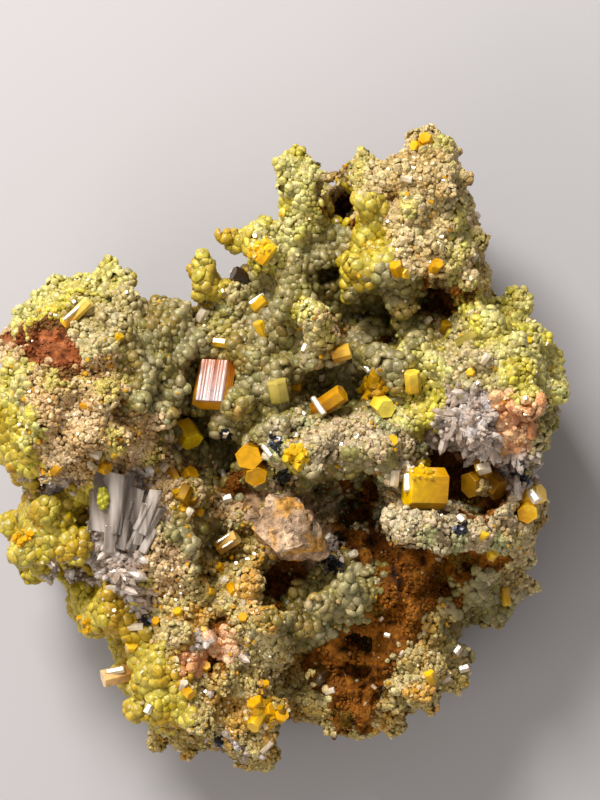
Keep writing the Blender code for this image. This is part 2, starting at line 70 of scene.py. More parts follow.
# Notches in the outline that stay open, as discs (x, y, reach).
NOTCHES = [(-6.5, 21.9, 0.60), (-5.5, 20.5, 0.90)]
# Knobs that stand before a crystal: centre (x, y, z) and radius.
KNOBS = [((-4.7, 5.9, 19.6), 2.0), ((-6.6, 3.6, 17.4), 1.3), ((20.8, -6.6, 19.6), 1.2)]
SKIN_GRID = 0.56
CHIP_CORNERS = 300
RELIEF_HEIGHT = 0.30
RELIEF_SPACING = 1.6
CREVICE_HEIGHT = 0.30
CREVICE_SPACING = 0.75
CAVITY_SPACING = 1.5
CAVITY_REACH = 0.42
CAVITY_DEPTH = 1.1
DISPLAY_SIDE = Vector((0.0, 0.0, -1.0))
CLEAR_HEIGHT = 0.08


def linear(hex_colour):
    """An sRGB hex colour as linear red, green and blue."""
    parts = [int(hex_colour[i:i + 2], 16) / 255.0 for i in (1, 3, 5)]
    return np.array([p / 12.92 if p <= 0.04045 else ((p + 0.055) / 1.055) ** 2.4 for p in parts])


# What covers each stretch of the display face, as discs (x, y, reach). The nearest disc wins, for its
# size, and the borders wander with a slow noise.
GROUND = {
    "basin": [
        (3.0, -2.4, 1.8), (8.6, -0.8, 1.8), (11.4, 0.4, 1.4), (5.4, -0.4, 1.2),
        (-12.6, 9.5, 5.2), (-13.0, 14.0, 3.4), (-5.0, 8.5, 5.5), (-0.5, 11.0, 5.0), (-1.0, 5.8, 3.6),
        (9.5, 9.5, 4.4), (12.0, 14.5, 3.4), (6.8, 17.0, 3.0), (-6.5, 1.5, 4.5), (1.5, 18.5, 2.2),
        (7.0, -14.0, 3.4), (2.4, -17.2, 3.0), (11.5, 18.0, 2.6), (4.0, 19.5, 2.4), (5.0, 23.5, 2.6),
        (-8.5, -8.0, 2.6), (19.5, -18.5, 2.2), (22.0, -14.6, 2.4), (8.5, 0.2, 2.0), (-2.6, 17.6, 2.2),
    ],
    "lime": [
        (-25.5, -6.3, 3.6), (-26.6, -10.2, 2.4), (-21.0, -16.0, 3.0), (-18.2, -18.6, 2.6),
        (-16.2, -20.6, 2.2), (-14.4, -24.6, 2.8), (8.2, 20.0, 2.6), (9.3, 23.6, 1.8), (9.4, 26.4, 1.6),
        (-29.2, 3.4, 2.4), (-27.2, -0.2, 2.2), (-18.9, -4.0, 1.4), (-10.6, -26.6, 2.2), (-22.6, -9.0, 1.6),
        (-8.4, 20.0, 2.4), (-5.0, 23.1, 2.0),
    ],
    "yellow": [
        (1.4, 28.0, 3.4), (1.6, 24.6, 2.8), (-2.0, 22.6, 2.6), (15.2, 9.6, 2.6), (14.4, 6.2, 2.4),
        (13.4, 3.6, 1.8), (-23.4, 17.6, 2.8), (-27.4, 15.4, 2.2), (-19.6, 19.2, 2.0), (-28.6, 8.0, 3.0),
        (23.6, 12.2, 3.6), (27.6, 10.6, 3.4), (25.4, 8.2, 2.6), (1.6, 0.4, 1.8), (2.4, 15.6, 1.8),
        (-26.4, 3.6, 2.4),
    ],
    "tower": [
        (15.6, 29.6, 5.2), (17.6, 25.0, 4.4), (10.4, 29.4, 3.0), (14.2, 22.6, 3.0), (12.6, 26.0, 2.6),
        (18.2, 20.6, 2.6), (4.6, 29.0, 1.8), (26.0, -9.0, 3.0), (24.8, -13.2, 2.0),
    ],
    "sandy": [
        (-22.6, 5.4, 5.4), (-18.2, 8.4, 3.4), (-19.8, 1.4, 3.4), (-15.2, 3.0, 3.2), (-24.6, 0.6, 3.0),
        (-10.6, -2.4, 3.0), (-12.0, -12.4, 3.4), (5.4, 14.4, 2.4), (-28.2, 11.4, 1.8), (-7.2, -5.4, 2.2),
    ],
    "pale": [
        (-19.4, 13.6, 3.8), (-16.4, 15.4, 2.4), (-21.6, 16.4, 2.0), (-6.4, 15.2, 3.0), (3.8, 12.8, 2.4),
        (20.6, 10.0, 2.6), (17.6, 12.2, 2.4), (-13.4, 17.0, 1.8), (-4.6, 19.0, 1.8), (28.2, 3.0, 2.2),
    ],
    "cream": [
        (-6.2, 15.6, 1.7),
        (6.4, -5.2, 1.4), (4.6, -5.6, 1.0),
        (0.6, 2.4, 3.4), (4.6, 0.8, 3.0), (9.0, 1.8, 3.4), (12.4, 1.2, 2.4), (-1.4, 0.6, 2.2),
        (12.4, -6.4, 2.6), (14.4, -7.4, 2.8), (18.0, -8.0, 2.6), (21.6, -8.4, 2.6), (12.6, -3.4, 1.8),
        (2.6, -2.2, 1.8), (24.2, -7.4, 2.0),
    ],
    "fragment": [(0.6, -6.6, 3.6), (2.6, -9.2, 2.6), (-2.0, -5.0, 1.8)],
    "rust": [
        (-22.4, 7.4, 1.0), (-21.4, 5.0, 1.0), (-17.2, 2.4, 0.8), (-16.0, 6.2, 0.6), (-12.8, -14.6, 0.9),
        (8.2, -4.4, 3.0), (10.4, -9.6, 3.4), (14.6, -11.6, 3.4), (19.4, -11.6, 3.4), (23.4, -10.8, 2.4),
        (12.4, -16.4, 4.6), (9.0, -21.6, 4.4), (7.6, -26.2, 3.2), (4.4, -23.0, 2.4), (17.8, -14.2, 2.6),
        (17.6, -1.4, 2.6), (20.6, -4.6, 2.6), (17.0, 17.0, 2.8), (6.4, 26.4, 2.2), (-5.4, -2.2, 2.4),
        (11.4, 12.8, 1.6), (0.0, -13.4, 2.4), (9.8, -1.0, 1.2), (-6.2, -17.8, 1.7), (-7.0, -22.4, 1.6),
    ],
    "red rust": [(-26.2, 12.8, 3.2), (-22.5, 11.8, 3.0), (-22.4, 9.2, 2.2), (-27.6, 12.4, 2.0)],
    "quartz": [
        (-22.6, 3.4, 0.9), (5.2, -9.2, 1.1), (4.4, 5.4, 0.6),
        (20.0, 4.4, 3.4), (17.2, 2.6, 2.0), (-25.2, -3.0, 2.7), (-27.4, -2.4, 1.6), (-23.4, -12.2, 2.3),
        (-17.4, -10.8, 3.6), (-15.4, -14.0, 2.8), (-20.6, -12.0, 3.2), (-16.4, -5.0, 3.4), (-5.6, -31.4, 2.2),
        (26.0, -1.6, 2.0), (-3.6, -20.8, 1.2), (-8.6, -18.8, 1.3), (-7.6, -24.6, 1.2),
    ],
    "peach": [(24.7, 4.4, 2.5), (-5.4, -20.2, 1.5), (-8.8, -21.8, 1.3), (23.6, 5.4, 1.6)],
    "olive sand": [
        (-6.2, -13.0, 5.0), (-11.0, -17.8, 3.0), (-2.0, -21.0, 3.4), (-7.4, -25.4, 3.6), (0.4, -24.0, 3.0),
        (14.8, -24.0, 4.0), (18.6, -21.8, 2.6), (3.2, -27.6, 2.6), (-2.2, -28.8, 3.4), (-11.0, -29.4, 2.8),
        (13.4, -27.6, 2.4), (-4.4, -9.6, 2.2), (16.6, -18.6, 2.0), (-7.4, -29.6, 2.4),
    ],
}
KINDS = list(GROUND)
# Faces are sides where the Z of their normal is small, and the sides run from SIDE_TOP down to
# SIDE_FOOT.
SIDE_START = 1.6
SIDE_SLOPE = 2.6
SIDE_TOP = 26.0
SIDE_FOOT = 16.0
SIDE_SPACING = 6.0
SIDE_WANDER = 9.0
SIDE_RARE = ("red rust", "peach", "quartz")
SIDE_LOSS = 0.9
GROUND_WANDER = 0.9
GROUND_WANDER_SPACING = 2.4
GROUND_SOFTNESS = 0.09
# Under this height the sides are bare vein rock, more so the further down they go.
BARE_HEIGHT = 8.0
# Each kind's body colour, that of its heights and that of its odd patches. The heights colour is partly a
# paler tone of the kind's own and partly painted light, as the crust takes it where it sees much sky.
GROUND_COLOURS = {
    "basin": ("#887c38", "#a09670", "#8c7630"),
    "lime": ("#b49c0c", "#c4b450", "#b08c0c"),
    "yellow": ("#b8aa40", "#ccc688", "#bcae30"),
    "tower": ("#b49450", "#d0c090", "#b8ac58"),
    "sandy": ("#bc924c", "#dcc49c", "#c4b458"),
    "pale": ("#b4a468", "#b8aa80", "#a49848"),
    "cream": ("#b8a070", "#ccbc9c", "#a0a06c"),
    "fragment": ("#9c7c58", "#c4a890", "#ac843c"),
    "rust": ("#804808", "#96601c", "#6c5818"),
    "red rust": ("#783c14", "#a8643c", "#785c30"),
    "quartz": ("#ac9c90", "#c8c0c0", "#a09450"),
    "peach": ("#ec9c58", "#eccca8", "#cc8850"),
    "olive sand": ("#b09440", "#ccbc88", "#c89838"),
}
# In its pits a kind's body colour is darkened and browned, as painted shade: the crust takes it where it
# sees little sky, the rock in random patches. Clear or waxy kinds let light in and take less of it, and
# the painted shade in the pits of rust is nearly black.
PLAIN_PIT_SHADE = "#7c6c54"
PIT_SHADES = {
    "lime": "#a89c90", "pale": "#c8b4a0", "fragment": "#a09080", "quartz": "#d8c4b0",
    "peach": "#d0b48c", "rust": "#302820", "red rust": "#302820",
}
# Rock that lies under crust is stained by it, and painted darker still, as shade, since it lies deep
# among the globules. Rock of the bare kinds is not.
BARE_KINDS = ("fragment", "rust", "red rust", "quartz", "peach")
UNDER_CRUST_SHADE = 0.45


def ground_stops(kind):
    """Four linear colours of a kind of ground, from the painted shade of its pits to its heights, partly
    painted light.
    """
    body, heights = (linear(c) for c in GROUND_COLOURS[kind][:2])
    pits = body * linear(PIT_SHADES.get(kind, PLAIN_PIT_SHADE))
    return np.array([pits, body, (body + heights) / 2.0, heights])


def ground_shares(points, facing):
    """For each point in metres with its normal, how much of each kind of ground it has."""
    flat = np.array(points)[:, :2] / MM
    wander = np.array([noise.noise_vector(Vector(p) / (GROUND_WANDER_SPACING * MM))[:2] for p in points])
    flat = flat + wander * GROUND_WANDER
    # Down the steep sides and on the back the kinds lie in blots, not in upright bands.
    steep = np.clip(SIDE_START - np.array(facing)[:, 2] * SIDE_SLOPE, 0.0, 1.0)
    low = np.clip((SIDE_TOP - np.array(points)[:, 2] / MM) / (SIDE_TOP - SIDE_FOOT), 0.0, 1.0)
    blots = np.array([noise.noise_vector(Vector(p) / (SIDE_SPACING * MM))[:2] for p in points])
    flat = flat + blots * (SIDE_WANDER * steep * low)[:, None]
    scores = np.empty((len(flat), len(KINDS)))
    for column, kind in enumerate(KINDS):
        discs = np.array(GROUND[kind])
        away = np.linalg.norm(flat[:, None, :] - discs[None, :, :2], axis=2)
        scores[:, column] = (1.0 - away / discs[None, :, 2]).max(axis=1)
    # The rarer kinds thin out down the sides.
    for kind in SIDE_RARE:
        scores[:, KINDS.index(kind)] -= SIDE_LOSS * steep * low
    scores = np.exp(np.clip((scores - scores.max(axis=1, keepdims=True)) / GROUND_SOFTNESS, -30.0, 0.0))
    return scores / scores.sum(axis=1, keepdims=True)


def ramp(colours, place):
    """Colours along rows of evenly spaced stops, one row and one place from 0 to 1 a point."""
    reach = np.clip(place, 0.0, 1.0) * (colours.shape[1] - 1)
    stop = np.minimum(reach.astype(int), colours.shape[1] - 2)
    rows = np.arange(len(stop))
    part = (reach - stop)[:, None]
    return colours[rows, stop] * (1.0 - part) + colours[rows, stop + 1] * part


def toned(stops, place):
    """Colours along one row of stops, one place from 0 to 1 a point."""
    return ramp(np.broadcast_to(stops, (len(place), *stops.shape)), place)


def blend(under, over, share):
    return under * (1.0 - share) + over * share


def packed_copy(name):
    """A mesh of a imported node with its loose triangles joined."""
    bm = bmesh.new()
    bm.from_mesh(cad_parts[name].data)
    bmesh.ops.remove_doubles(bm, verts=bm.verts, dist=1e-6)
    return bm


def placed(name, mesh, finish, replaced=()):
    """A piece of the specimen from a mesh, with its finish, on the part's one body."""
    obj = bpy.data.objects.new(name, mesh)
    bpy.context.scene.collection.objects.link(obj)
    obj.data.materials.append(finish)
    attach(obj, "root")
    if replaced:
        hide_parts(*replaced)


def tint(mesh, name, colours):
    """Linear colours, one a vertex, as a colour attribute."""
    layer = mesh.attributes.new(name, "FLOAT_COLOR", "POINT")
    rgba = np.ones((len(mesh.vertices), 4))
    rgba[:, :3] = colours
    layer.data.foreach_set("color", rgba.ravel())


def positions(mesh):
    flat = np.empty(len(mesh.vertices) * 3)
    mesh.vertices.foreach_get("co", flat)
    return flat.reshape(-1, 3)


crystal_names = [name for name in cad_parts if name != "matrix"]
crystal_trees = []
for crystal in crystal_names:
    crystal_bm = packed_copy(crystal)
    crystal_trees.append(BVHTree.FromBMesh(crystal_bm))
    crystal_bm.free()


def in_notch(spot, reach):
    return any((spot.xy / MM - Vector(notch[:2])).length < notch[2] + reach / MM for notch in NOTCHES)


def near_crystal(spot, reach):
    return any(tree.find_nearest(spot, reach)[0] is not None for tree in crystal_trees)


def rock_mesh():
    """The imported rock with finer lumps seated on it, grown into one broken skin."""
    bm = packed_copy("matrix")
    surface = BVHTree.FromBMesh(bm)
    low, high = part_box("matrix")
    lumps = []
    for _ in range(LUMP_TRIES):
        x, y = rng.uniform(low[0], high[0]), rng.uniform(low[1], high[1])
        hit, normal, _, _ = surface.ray_cast(Vector((x, y, CLEAR_HEIGHT)), DISPLAY_SIDE)
        radius = rng.uniform(*LUMP_RADIUS) * MM
        if not hit or hit.z < BARE_HEIGHT * MM:
            continue
        # A lump on a thin stalk is no thicker than the stalk.
        _, _, _, through = surface.ray_cast(hit - normal * 0.01 * MM, -normal)
        radius = min(radius, (through or radius) * STALK_SHARE)
        if any((hit - other).length < LUMP_CROWDING * (radius + size) for other, size in lumps):
            continue
        if near_crystal(hit, radius + LUMP_GAP * MM) or in_notch(hit, radius):
            continue
        lumps.append((hit, radius))
        # Lumps on the outline stay sunk, and those that face the viewer stand out.
        rise = np.interp(normal.z, LUMP_FACING, LUMP_RISE)
        place = Matrix.Translation(hit + normal * radius * rise)
        bmesh.ops.create_icosphere(bm, subdivisions=2, radius=radius, matrix=place)
    for knob, radius in KNOBS:
        bmesh.ops.create_icosphere(
            bm, subdivisions=2, radius=radius * MM, matrix=Matrix.Translation(Vector(knob) * MM),
        )
    mesh = bpy.data.meshes.new("rock_seed")
    bm.to_mesh(mesh)
    bm.free()
    seed = bpy.data.objects.new("rock_seed", mesh)
    bpy.context.scene.collection.objects.link(seed)
    remesh = seed.modifiers.new("Skin", "REMESH")
    remesh.mode = "VOXEL"
    remesh.voxel_size = SKIN_GRID * MM
    skin = bpy.data.meshes.new_from_object(seed.evaluated_get(bpy.context.evaluated_depsgraph_get()))
    bpy.data.objects.remove(seed)

    bm = bmesh.new()
    bm.from_mesh(skin)
    # Chips that the grid left loose beside the rock are dropped.
    left, loose = set(bm.verts), []
    while left:
        chip = [left.pop()]
        for vert in chip:
            reached = {e.other_vert(vert) for e in vert.link_edges} & left
            left -= reached
            chip.extend(reached)
        if len(chip) < CHIP_CORNERS:
            loose.extend(chip)
    bmesh.ops.delete(bm, geom=loose, context="VERTS")
    bmesh.ops.smooth_vert(bm, verts=bm.verts, factor=0.5, use_axis_x=True, use_axis_y=True, use_axis_z=True)
    bm.normal_update()
    shares = ground_shares([v.co[:] for v in bm.verts], [v.normal[:] for v in bm.verts])
    broken = shares[:, [KINDS.index(k) for k in ("rust", "red rust", "fragment", "quartz")]].sum(axis=1)
    for vert, rough in zip(bm.verts, broken):
        if vert.co.z < SKIN_GRID * MM:
            vert.co.z = max(vert.co.z, 0.0)
            continue
        wave = noise.fractal(vert.co / (RELIEF_SPACING * MM), 0.8, 2.0, 3)
        ridge = abs(noise.noise(vert.co / (CREVICE_SPACING * MM)))
        cell = noise.voronoi(vert.co / (CAVITY_SPACING * MM))[0]
        cavity = max(0.0, 1.0 - cell[0] / CAVITY_REACH) * rough
        depth = wave * RELIEF_HEIGHT * (1.0 + rough) - ridge * CREVICE_HEIGHT * (0.4 + 1.6 * rough)
        # The sides draw in, to leave room for the crust that grows out of them.
        depth -= EDGE_INSET * (1.0 - min(max(vert.normal.z, 0.0) * 1.6, 1.0))
        vert.co += vert.normal * MM * (depth - cavity * CAVITY_DEPTH)
        vert.co.z = max(vert.co.z, 0.0)
    bm.to_mesh(skin)
    bm.free()
    skin.shade_smooth()
    return skin


def node(tree, kind, inputs=None, **settings):
    """Adds a node with its settings, and a value or a link on each of the inputs named."""
    made = tree.nodes.new(kind)
    for key, value in settings.items():
        setattr(made, key, value)
    for socket, value in (inputs or {}).items():
        if isinstance(value, bpy.types.NodeSocket):
            tree.links.new(value, made.inputs[socket])
        else:
            made.inputs[socket].default_value = value
    return made


def new_material(name):
    made = bpy.data.materials.new(name)
    made.use_nodes = True
    return made, made.node_tree, made.node_tree.nodes["Principled BSDF"]


def mottled(tree, tint_name, clouds, reach, shades):
    """A colour attribute that a cloudy noise makes darker and lighter, with its place and that noise."""
    place = node(tree, "ShaderNodeTexCoord").outputs["Object"]
    colour = node(tree, "ShaderNodeAttribute", attribute_name=tint_name).outputs["Color"]
    cloud = node(tree, "ShaderNodeTexNoise", {"Vector": place, **clouds}).outputs["Fac"]
    shade = node(
        tree, "ShaderNodeMapRange",
        {
            "Value": cloud, "From Min": reach[0], "From Max": reach[1],
            "To Min": shades[0], "To Max": shades[1],
        },
    )
    shaded = node(
        tree, "ShaderNodeMix", {0: 1.0, 6: colour, 7: shade.outputs["Result"]},
        data_type="RGBA", blend_type="MULTIPLY",
    )
    return place, cloud, shaded.outputs[2]


def limonite():
    """Broken limonite and vein quartz: dull, earthy and pitted, with grains of 0.3 to 0.6 mm."""
    made, tree, shader = new_material("broken limonite and vein quartz")
    clouds = {"Scale": 1.3 / MM, "Detail": 6.0, "Roughness": 0.7}
    place, patches, shaded = mottled(tree, "rock_tint", clouds, (0.34, 0.66), (0.18, 1.60))
    tree.links.new(shaded, shader.inputs["Base Color"])
    grain = node(tree, "ShaderNodeTexVoronoi", {"Vector": place, "Scale": 2.4 / MM}, feature="F1")
    fine = node(
        tree, "ShaderNodeBump", {"Strength": 0.7, "Distance": 0.12 * MM, "Height": grain.outputs["Distance"]},
        invert=True,
    )
    coarse = node(
        tree, "ShaderNodeBump",
        {"Strength": 0.8, "Distance": 0.3 * MM, "Height": patches, "Normal": fine.outputs["Normal"]},
    )
    tree.links.new(coarse.outputs["Normal"], shader.inputs["Normal"])
    shader.inputs["Roughness"].default_value = 0.80
    shader.inputs["IOR"].default_value = 1.40
    shader.inputs["Specular IOR Level"].default_value = 0.25
    return made


def field(points, spacing):
    """A slow noise of 0 to 1 with blots of that many millimetres."""
    return np.array([noise.noise(Vector(p) / (spacing * MM)) for p in points]) * 0.5 + 0.5


rock_skin = rock_mesh()
rock_points = positions(rock_skin)
rock_palette = np.array([
    ground_stops(kind) * (1.0 if kind in BARE_KINDS else UNDER_CRUST_SHADE) for kind in KINDS
])
rock_facing = np.array([n.vector[:] for n in rock_skin.vertex_normals])
rock_shares = ground_shares(rock_points, rock_facing)
rock_tone = 0.5 + (field(rock_points, 2.2) - 0.5) * 1.5 + (field(rock_points + 0.03, 0.8) - 0.5) * 1.3
rock_colours = sum(rock_shares[:, k, None] * toned(rock_palette[k], rock_tone) for k in range(len(KINDS)))
# The trimmed back is a break through the inside, tan wall rock with rusty veins.
SAWN_DEPTH = 1.2
VEIN_SPACING = 3.6
sawn = np.clip(1.0 - rock_points[:, 2:] / (SAWN_DEPTH * MM), 0.0, 1.0)
veined = np.clip((field(rock_points + 0.07, VEIN_SPACING)[:, None] - 0.42) * 5.0, 0.0, 1.0)
rusty, tan = (toned(rock_palette[KINDS.index(kind)], rock_tone) for kind in ("rust", "fragment"))
tint(rock_skin, "rock_tint", blend(rock_colours, blend(rusty, tan, veined), sawn))
placed("limonite_rock", rock_skin, limonite(), ["matrix"])

# Globular crust
# Pyromorphite lines the rock as botryoidal crust: thousands of waxy globules of 0.3 to 1.9 mm that
# grew into each other, lime where they are coarse, grey-green in the shade and tan on the heights.
# Each kind has its smallest and largest radius, and how much of the ground it covers.
CRUST = {
    "basin": ((0.30, 0.76), 1.00),
    "lime": ((0.34, 0.86), 1.00),
    "yellow": ((0.27, 0.62), 1.00),
    "tower": ((0.25, 0.60), 1.00),
    "sandy": ((0.24, 0.50), 1.00),
    "pale": ((0.26, 0.58), 1.00),
    "cream": ((0.26, 0.56), 1.00),
    "fragment": ((0.26, 0.44), 0.04),
    "rust": ((0.13, 0.34), 0.62),
    "red rust": ((0.13, 0.32), 0.66),
    "quartz": ((0.22, 0.44), 0.16),
    "peach": ((0.40, 0.95), 0.86),
    "olive sand": ((0.24, 0.56), 1.00),
}
CANDIDATE_COUNT = 240000
CROWDING = {"lime": 0.43, "basin": 0.49, "yellow": 0.49, "rust": 0.56}
PLAIN_CROWDING = 0.54
GLOBULE_STAND = -0.04
GLOBULE_FLATNESS = 0.86
# Crust this near to the surface of a knob belongs to the knob.
KNOB_CRUST = 0.6
# Sky is looked for along rings of rays: tilt from upright, how many, and the first one's turn.
SKY_RINGS = ((0.0, 1, 0.0), (38.0, 4, 0.0), (62.0, 4, 45.0))
OPEN_REACH = 6.0
LARGE_RADIUS = 0.64
MEDIUM_RADIUS = 0.44
CRISP_RADIUS = 0.46
PATCH_SPACING = 2.8
FLECK_SPACING = 0.9


def surface_samples(mesh, count):
    """Points spread evenly over a mesh, with the smooth normal at each."""
    mesh.calc_loop_triangles()
    corners = np.empty(len(mesh.loop_triangles) * 3, dtype=np.int64)
    mesh.loop_triangles.foreach_get("vertices", corners)
    corners = corners.reshape(-1, 3)
    spots = positions(mesh)
    normals = np.empty(len(mesh.vertices) * 3)
    mesh.vertices.foreach_get("normal", normals)
    normals = normals.reshape(-1, 3)
    a, b, c = (spots[corners[:, k]] for k in range(3))
    area = np.linalg.norm(np.cross(b - a, c - a), axis=1)
    chosen = rng.choice(len(corners), size=count, p=area / area.sum())
    u, v = rng.random(count), rng.random(count)
    over = u + v > 1.0
    u[over], v[over] = 1.0 - u[over], 1.0 - v[over]
    weights = np.stack([1.0 - u - v, u, v], axis=1)
    where = sum(weights[:, k, None] * spots[corners[chosen, k]] for k in range(3))
    facing = sum(weights[:, k, None] * normals[corners[chosen, k]] for k in range(3))
    return where, facing / np.linalg.norm(facing, axis=1, keepdims=True)


def clear_of_crystals(spot, size):
    """Whether a globule neither cuts into a crystal nor hangs over it."""
    if near_crystal(spot, size):
        return False
    # Only the crust of a knob may hang over a crystal.
    if any((spot - Vector(knob) * MM).length < (radius + KNOB_CRUST) * MM for knob, radius in KNOBS):
        return True
    return not any(tree.ray_cast(spot, DISPLAY_SIDE)[0] for tree in crystal_trees)


def openness(where, facing, blockers):
    """For each spot, the share of the sky over the display side that it sees."""
    rays = []
    for tilt, count, first in SKY_RINGS:
        low = math.sin(math.radians(tilt))
        for turn in (math.radians(first + 360.0 * k / count) for k in range(count)):
            rays.append(Vector((low * math.cos(turn), low * math.sin(turn), math.cos(math.radians(tilt)))))
    seen = np.zeros(len(where))
    for index, (spot, normal) in enumerate(zip(where, facing)):
        start = Vector(spot) + Vector(normal) * 0.5 * MM
        seen[index] = sum(blockers.ray_cast(start, ray, OPEN_REACH * MM)[0] is None for ray in rays)
    return seen / len(rays)


def globules():
    """Globules packed over the rock, the coarse ones first and the fine ones in what is left."""
    where, facing = surface_samples(rock_skin, CANDIDATE_COUNT)
    height = where[:, 2] / MM
    kept = height > 1.0
    where, facing, height = where[kept], facing[kept], height[kept]
    # Where two kinds meet they grow among each other.
    shares = np.cumsum(ground_shares(where, facing), axis=1)
    kinds = np.minimum((shares < rng.random((len(where), 1))).sum(axis=1), len(KINDS) - 1)
    spans = np.array([CRUST[kind][0] for kind in KINDS])
    cover = np.array([CRUST[kind][1] for kind in KINDS])
    patch = field(where, PATCH_SPACING)
    draw = np.clip(rng.random(len(where)) ** 2.0 * (0.55 + 0.9 * patch), 0.0, 1.0)
    radius = spans[kinds, 0] + (spans[kinds, 1] - spans[kinds, 0]) * draw
    # Crust thins out down the sides and on what looks down.
    wanted = cover[kinds] * np.clip((height - 1.0) / BARE_HEIGHT, 0.0, 1.0) ** 0.7
    wanted *= np.clip(1.3 + facing[:, 2] * 1.6, 0.0, 1.0)
    alive = np.where(wanted < 0.9, patch * 1.2, 0.0) < np.maximum(wanted, 0.02)
    crowding = np.array([CROWDING.get(kind, PLAIN_CROWDING) for kind in KINDS])[kinds]
    tree = KDTree(len(where))
    for index, spot in enumerate(where):
        tree.insert(spot, index)
    tree.balance()
    picked = []
    for index in np.argsort(-radius):
        if not alive[index]:
            continue
        alive[index] = False
        spot = Vector(where[index])
        size = radius[index] * MM
        if not clear_of_crystals(spot, size * 0.8) or in_notch(spot, size):
            continue
        picked.append(index)
        for _, other, away in tree.find_range(spot, 2.0 * crowding[index] * size):
            if away < crowding[index] * (size + radius[other] * MM):
                alive[other] = False
    picked = np.array(picked)
    return where[picked], facing[picked], radius[picked], kinds[picked]


def shape_of(bm):
    """A small mesh's corners and triangles, to be copied many times."""
    bmesh.ops.triangulate(bm, faces=bm.faces)
    bm.verts.index_update()
    corners = np.array([v.co[:] for v in bm.verts])
    triangles = np.array([[v.index for v in f.verts] for f in bm.faces])
    bm.free()
    return corners, triangles


def globule_shape(sides, rings, spread):
    """A globule's corners and triangles: a ball with its rings drawn up towards the free side."""
    bm = bmesh.new()
    bmesh.ops.create_uvsphere(bm, u_segments=sides, v_segments=rings, radius=1.0)
    # The buried pole goes, and a flat face closes the ball there.
    bmesh.ops.dissolve_verts(bm, verts=[min(bm.verts, key=lambda v: v.co.z)])
    for vert in bm.verts:
        tilt = math.acos(max(-1.0, min(1.0, vert.co.z)))
        turn = math.atan2(vert.co.y, vert.co.x)
        low = math.sin(tilt * spread)
        vert.co = (low * math.cos(turn), low * math.sin(turn), math.cos(tilt * spread))
    return shape_of(bm)


def upright(facing, lean):
    """Rotation matrices that stand copies along a direction, leaning and turned about it at random."""
    along = facing + rng.normal(0.0, lean, facing.shape)
    along /= np.linalg.norm(along, axis=1, keepdims=True)
    helper = np.where(np.abs(along[:, 2:3]) < 0.9, (0.0, 0.0, 1.0), (1.0, 0.0, 0.0))
    side = np.cross(helper, along)
    side /= np.linalg.norm(side, axis=1, keepdims=True)
    turn = rng.uniform(0.0, 2.0 * np.pi, (len(along), 1))
    across = side * np.cos(turn) + np.cross(along, side) * np.sin(turn)
    return np.stack([across, np.cross(along, across), along], axis=2)


def repeated(shape, centres, scales, rotations):
    """Copies of one shape: all their corners, and all their triangles."""
    corners, triangles = shape
    local = corners[None, :, :] * scales[:, None, :]
    spots = np.einsum("nij,nkj->nki", rotations, local) + centres[:, None, :]
    faces = triangles[None, :, :] + (np.arange(len(centres)) * len(corners))[:, None, None]
    return spots, faces


def joined_mesh(name, groups):
    """One mesh from groups of (corners, triangles, colours, smooth), each as many copies of a shape."""
    spots = np.concatenate([g[0].reshape(-1, 3) for g in groups])
    colours = np.concatenate([g[2].reshape(-1, 3) for g in groups])
    smooth = np.concatenate([np.full(g[1].shape[0] * g[1].shape[1], g[3]) for g in groups])
    starts = np.cumsum([0] + [g[0].shape[0] * g[0].shape[1] for g in groups])
    faces = np.concatenate([g[1].reshape(-1, 3) + start for g, start in zip(groups, starts)])
    mesh = bpy.data.meshes.new(name)
    mesh.vertices.add(len(spots))
    mesh.vertices.foreach_set("co", spots.ravel())
    mesh.loops.add(len(faces) * 3)
    mesh.loops.foreach_set("vertex_index", faces.ravel())
    mesh.polygons.add(len(faces))
    mesh.polygons.foreach_set("loop_start", np.arange(len(faces)) * 3)
    mesh.polygons.foreach_set("use_smooth", smooth)
    mesh.update(calc_edges=True)
    tint(mesh, "crystal_tint", colours)
    return mesh


def waxy(name, roughness, glow, bleed, grains, grain_depth, crease_shade):
    """Waxy, translucent crust: light bleeds a little way in, and the skin is finely grained."""
    made, tree, shader = new_material(name)
    clouds = {"Scale": 1.6 / MM, "Detail": 5.0}
    place, _, shaded = mottled(tree, "crystal_tint", clouds, (0.3, 0.7), (0.70, 1.22))
    # The real grain is 0.05 mm or finer. It is drawn at 0.3 mm, so that it shows at this size.
    grain = node(tree, "ShaderNodeTexVoronoi", {"Vector": place, "Scale": grains / MM}, feature="F1")
    depth = grain.outputs["Distance"]
    # The grain's creases are painted darker, as painted shade, and its middles a little lighter, as painted
    # light.
    lit, dark = 1.0 + crease_shade * 0.4, 1.0 - crease_shade
    crease = node(
        tree, "ShaderNodeMapRange",
        {"Value": depth, "From Min": 0.15, "From Max": 0.75, "To Min": lit, "To Max": dark},
    )
    grained = node(
        tree, "ShaderNodeMix", {0: 1.0, 6: shaded, 7: crease.outputs["Result"]},
        data_type="RGBA", blend_type="MULTIPLY",
    )
    tree.links.new(grained.outputs[2], shader.inputs["Base Color"])
    bump = node(
        tree, "ShaderNodeBump", {"Strength": 0.9, "Distance": grain_depth * MM, "Height": depth}, invert=True,
    )
    tree.links.new(bump.outputs["Normal"], shader.inputs["Normal"])
    shader.inputs["Roughness"].default_value = roughness
    shader.inputs["IOR"].default_value = 1.6
    # Earthy crumbs mirror little.
    shader.inputs["Specular IOR Level"].default_value = 0.5 if glow > 0.0 else 0.15
    shader.inputs["Subsurface Weight"].default_value = glow
    shader.inputs["Subsurface Radius"].default_value = (1.0, 0.95, 0.7)
    shader.inputs["Subsurface Scale"].default_value = bleed * MM
    return made


spots, normals, sizes, kinds = globules()
sky = openness(spots, normals, BVHTree.FromPolygons(
    [Vector(p) for p in rock_points], [tuple(f.vertices) for f in rock_skin.polygons]
))
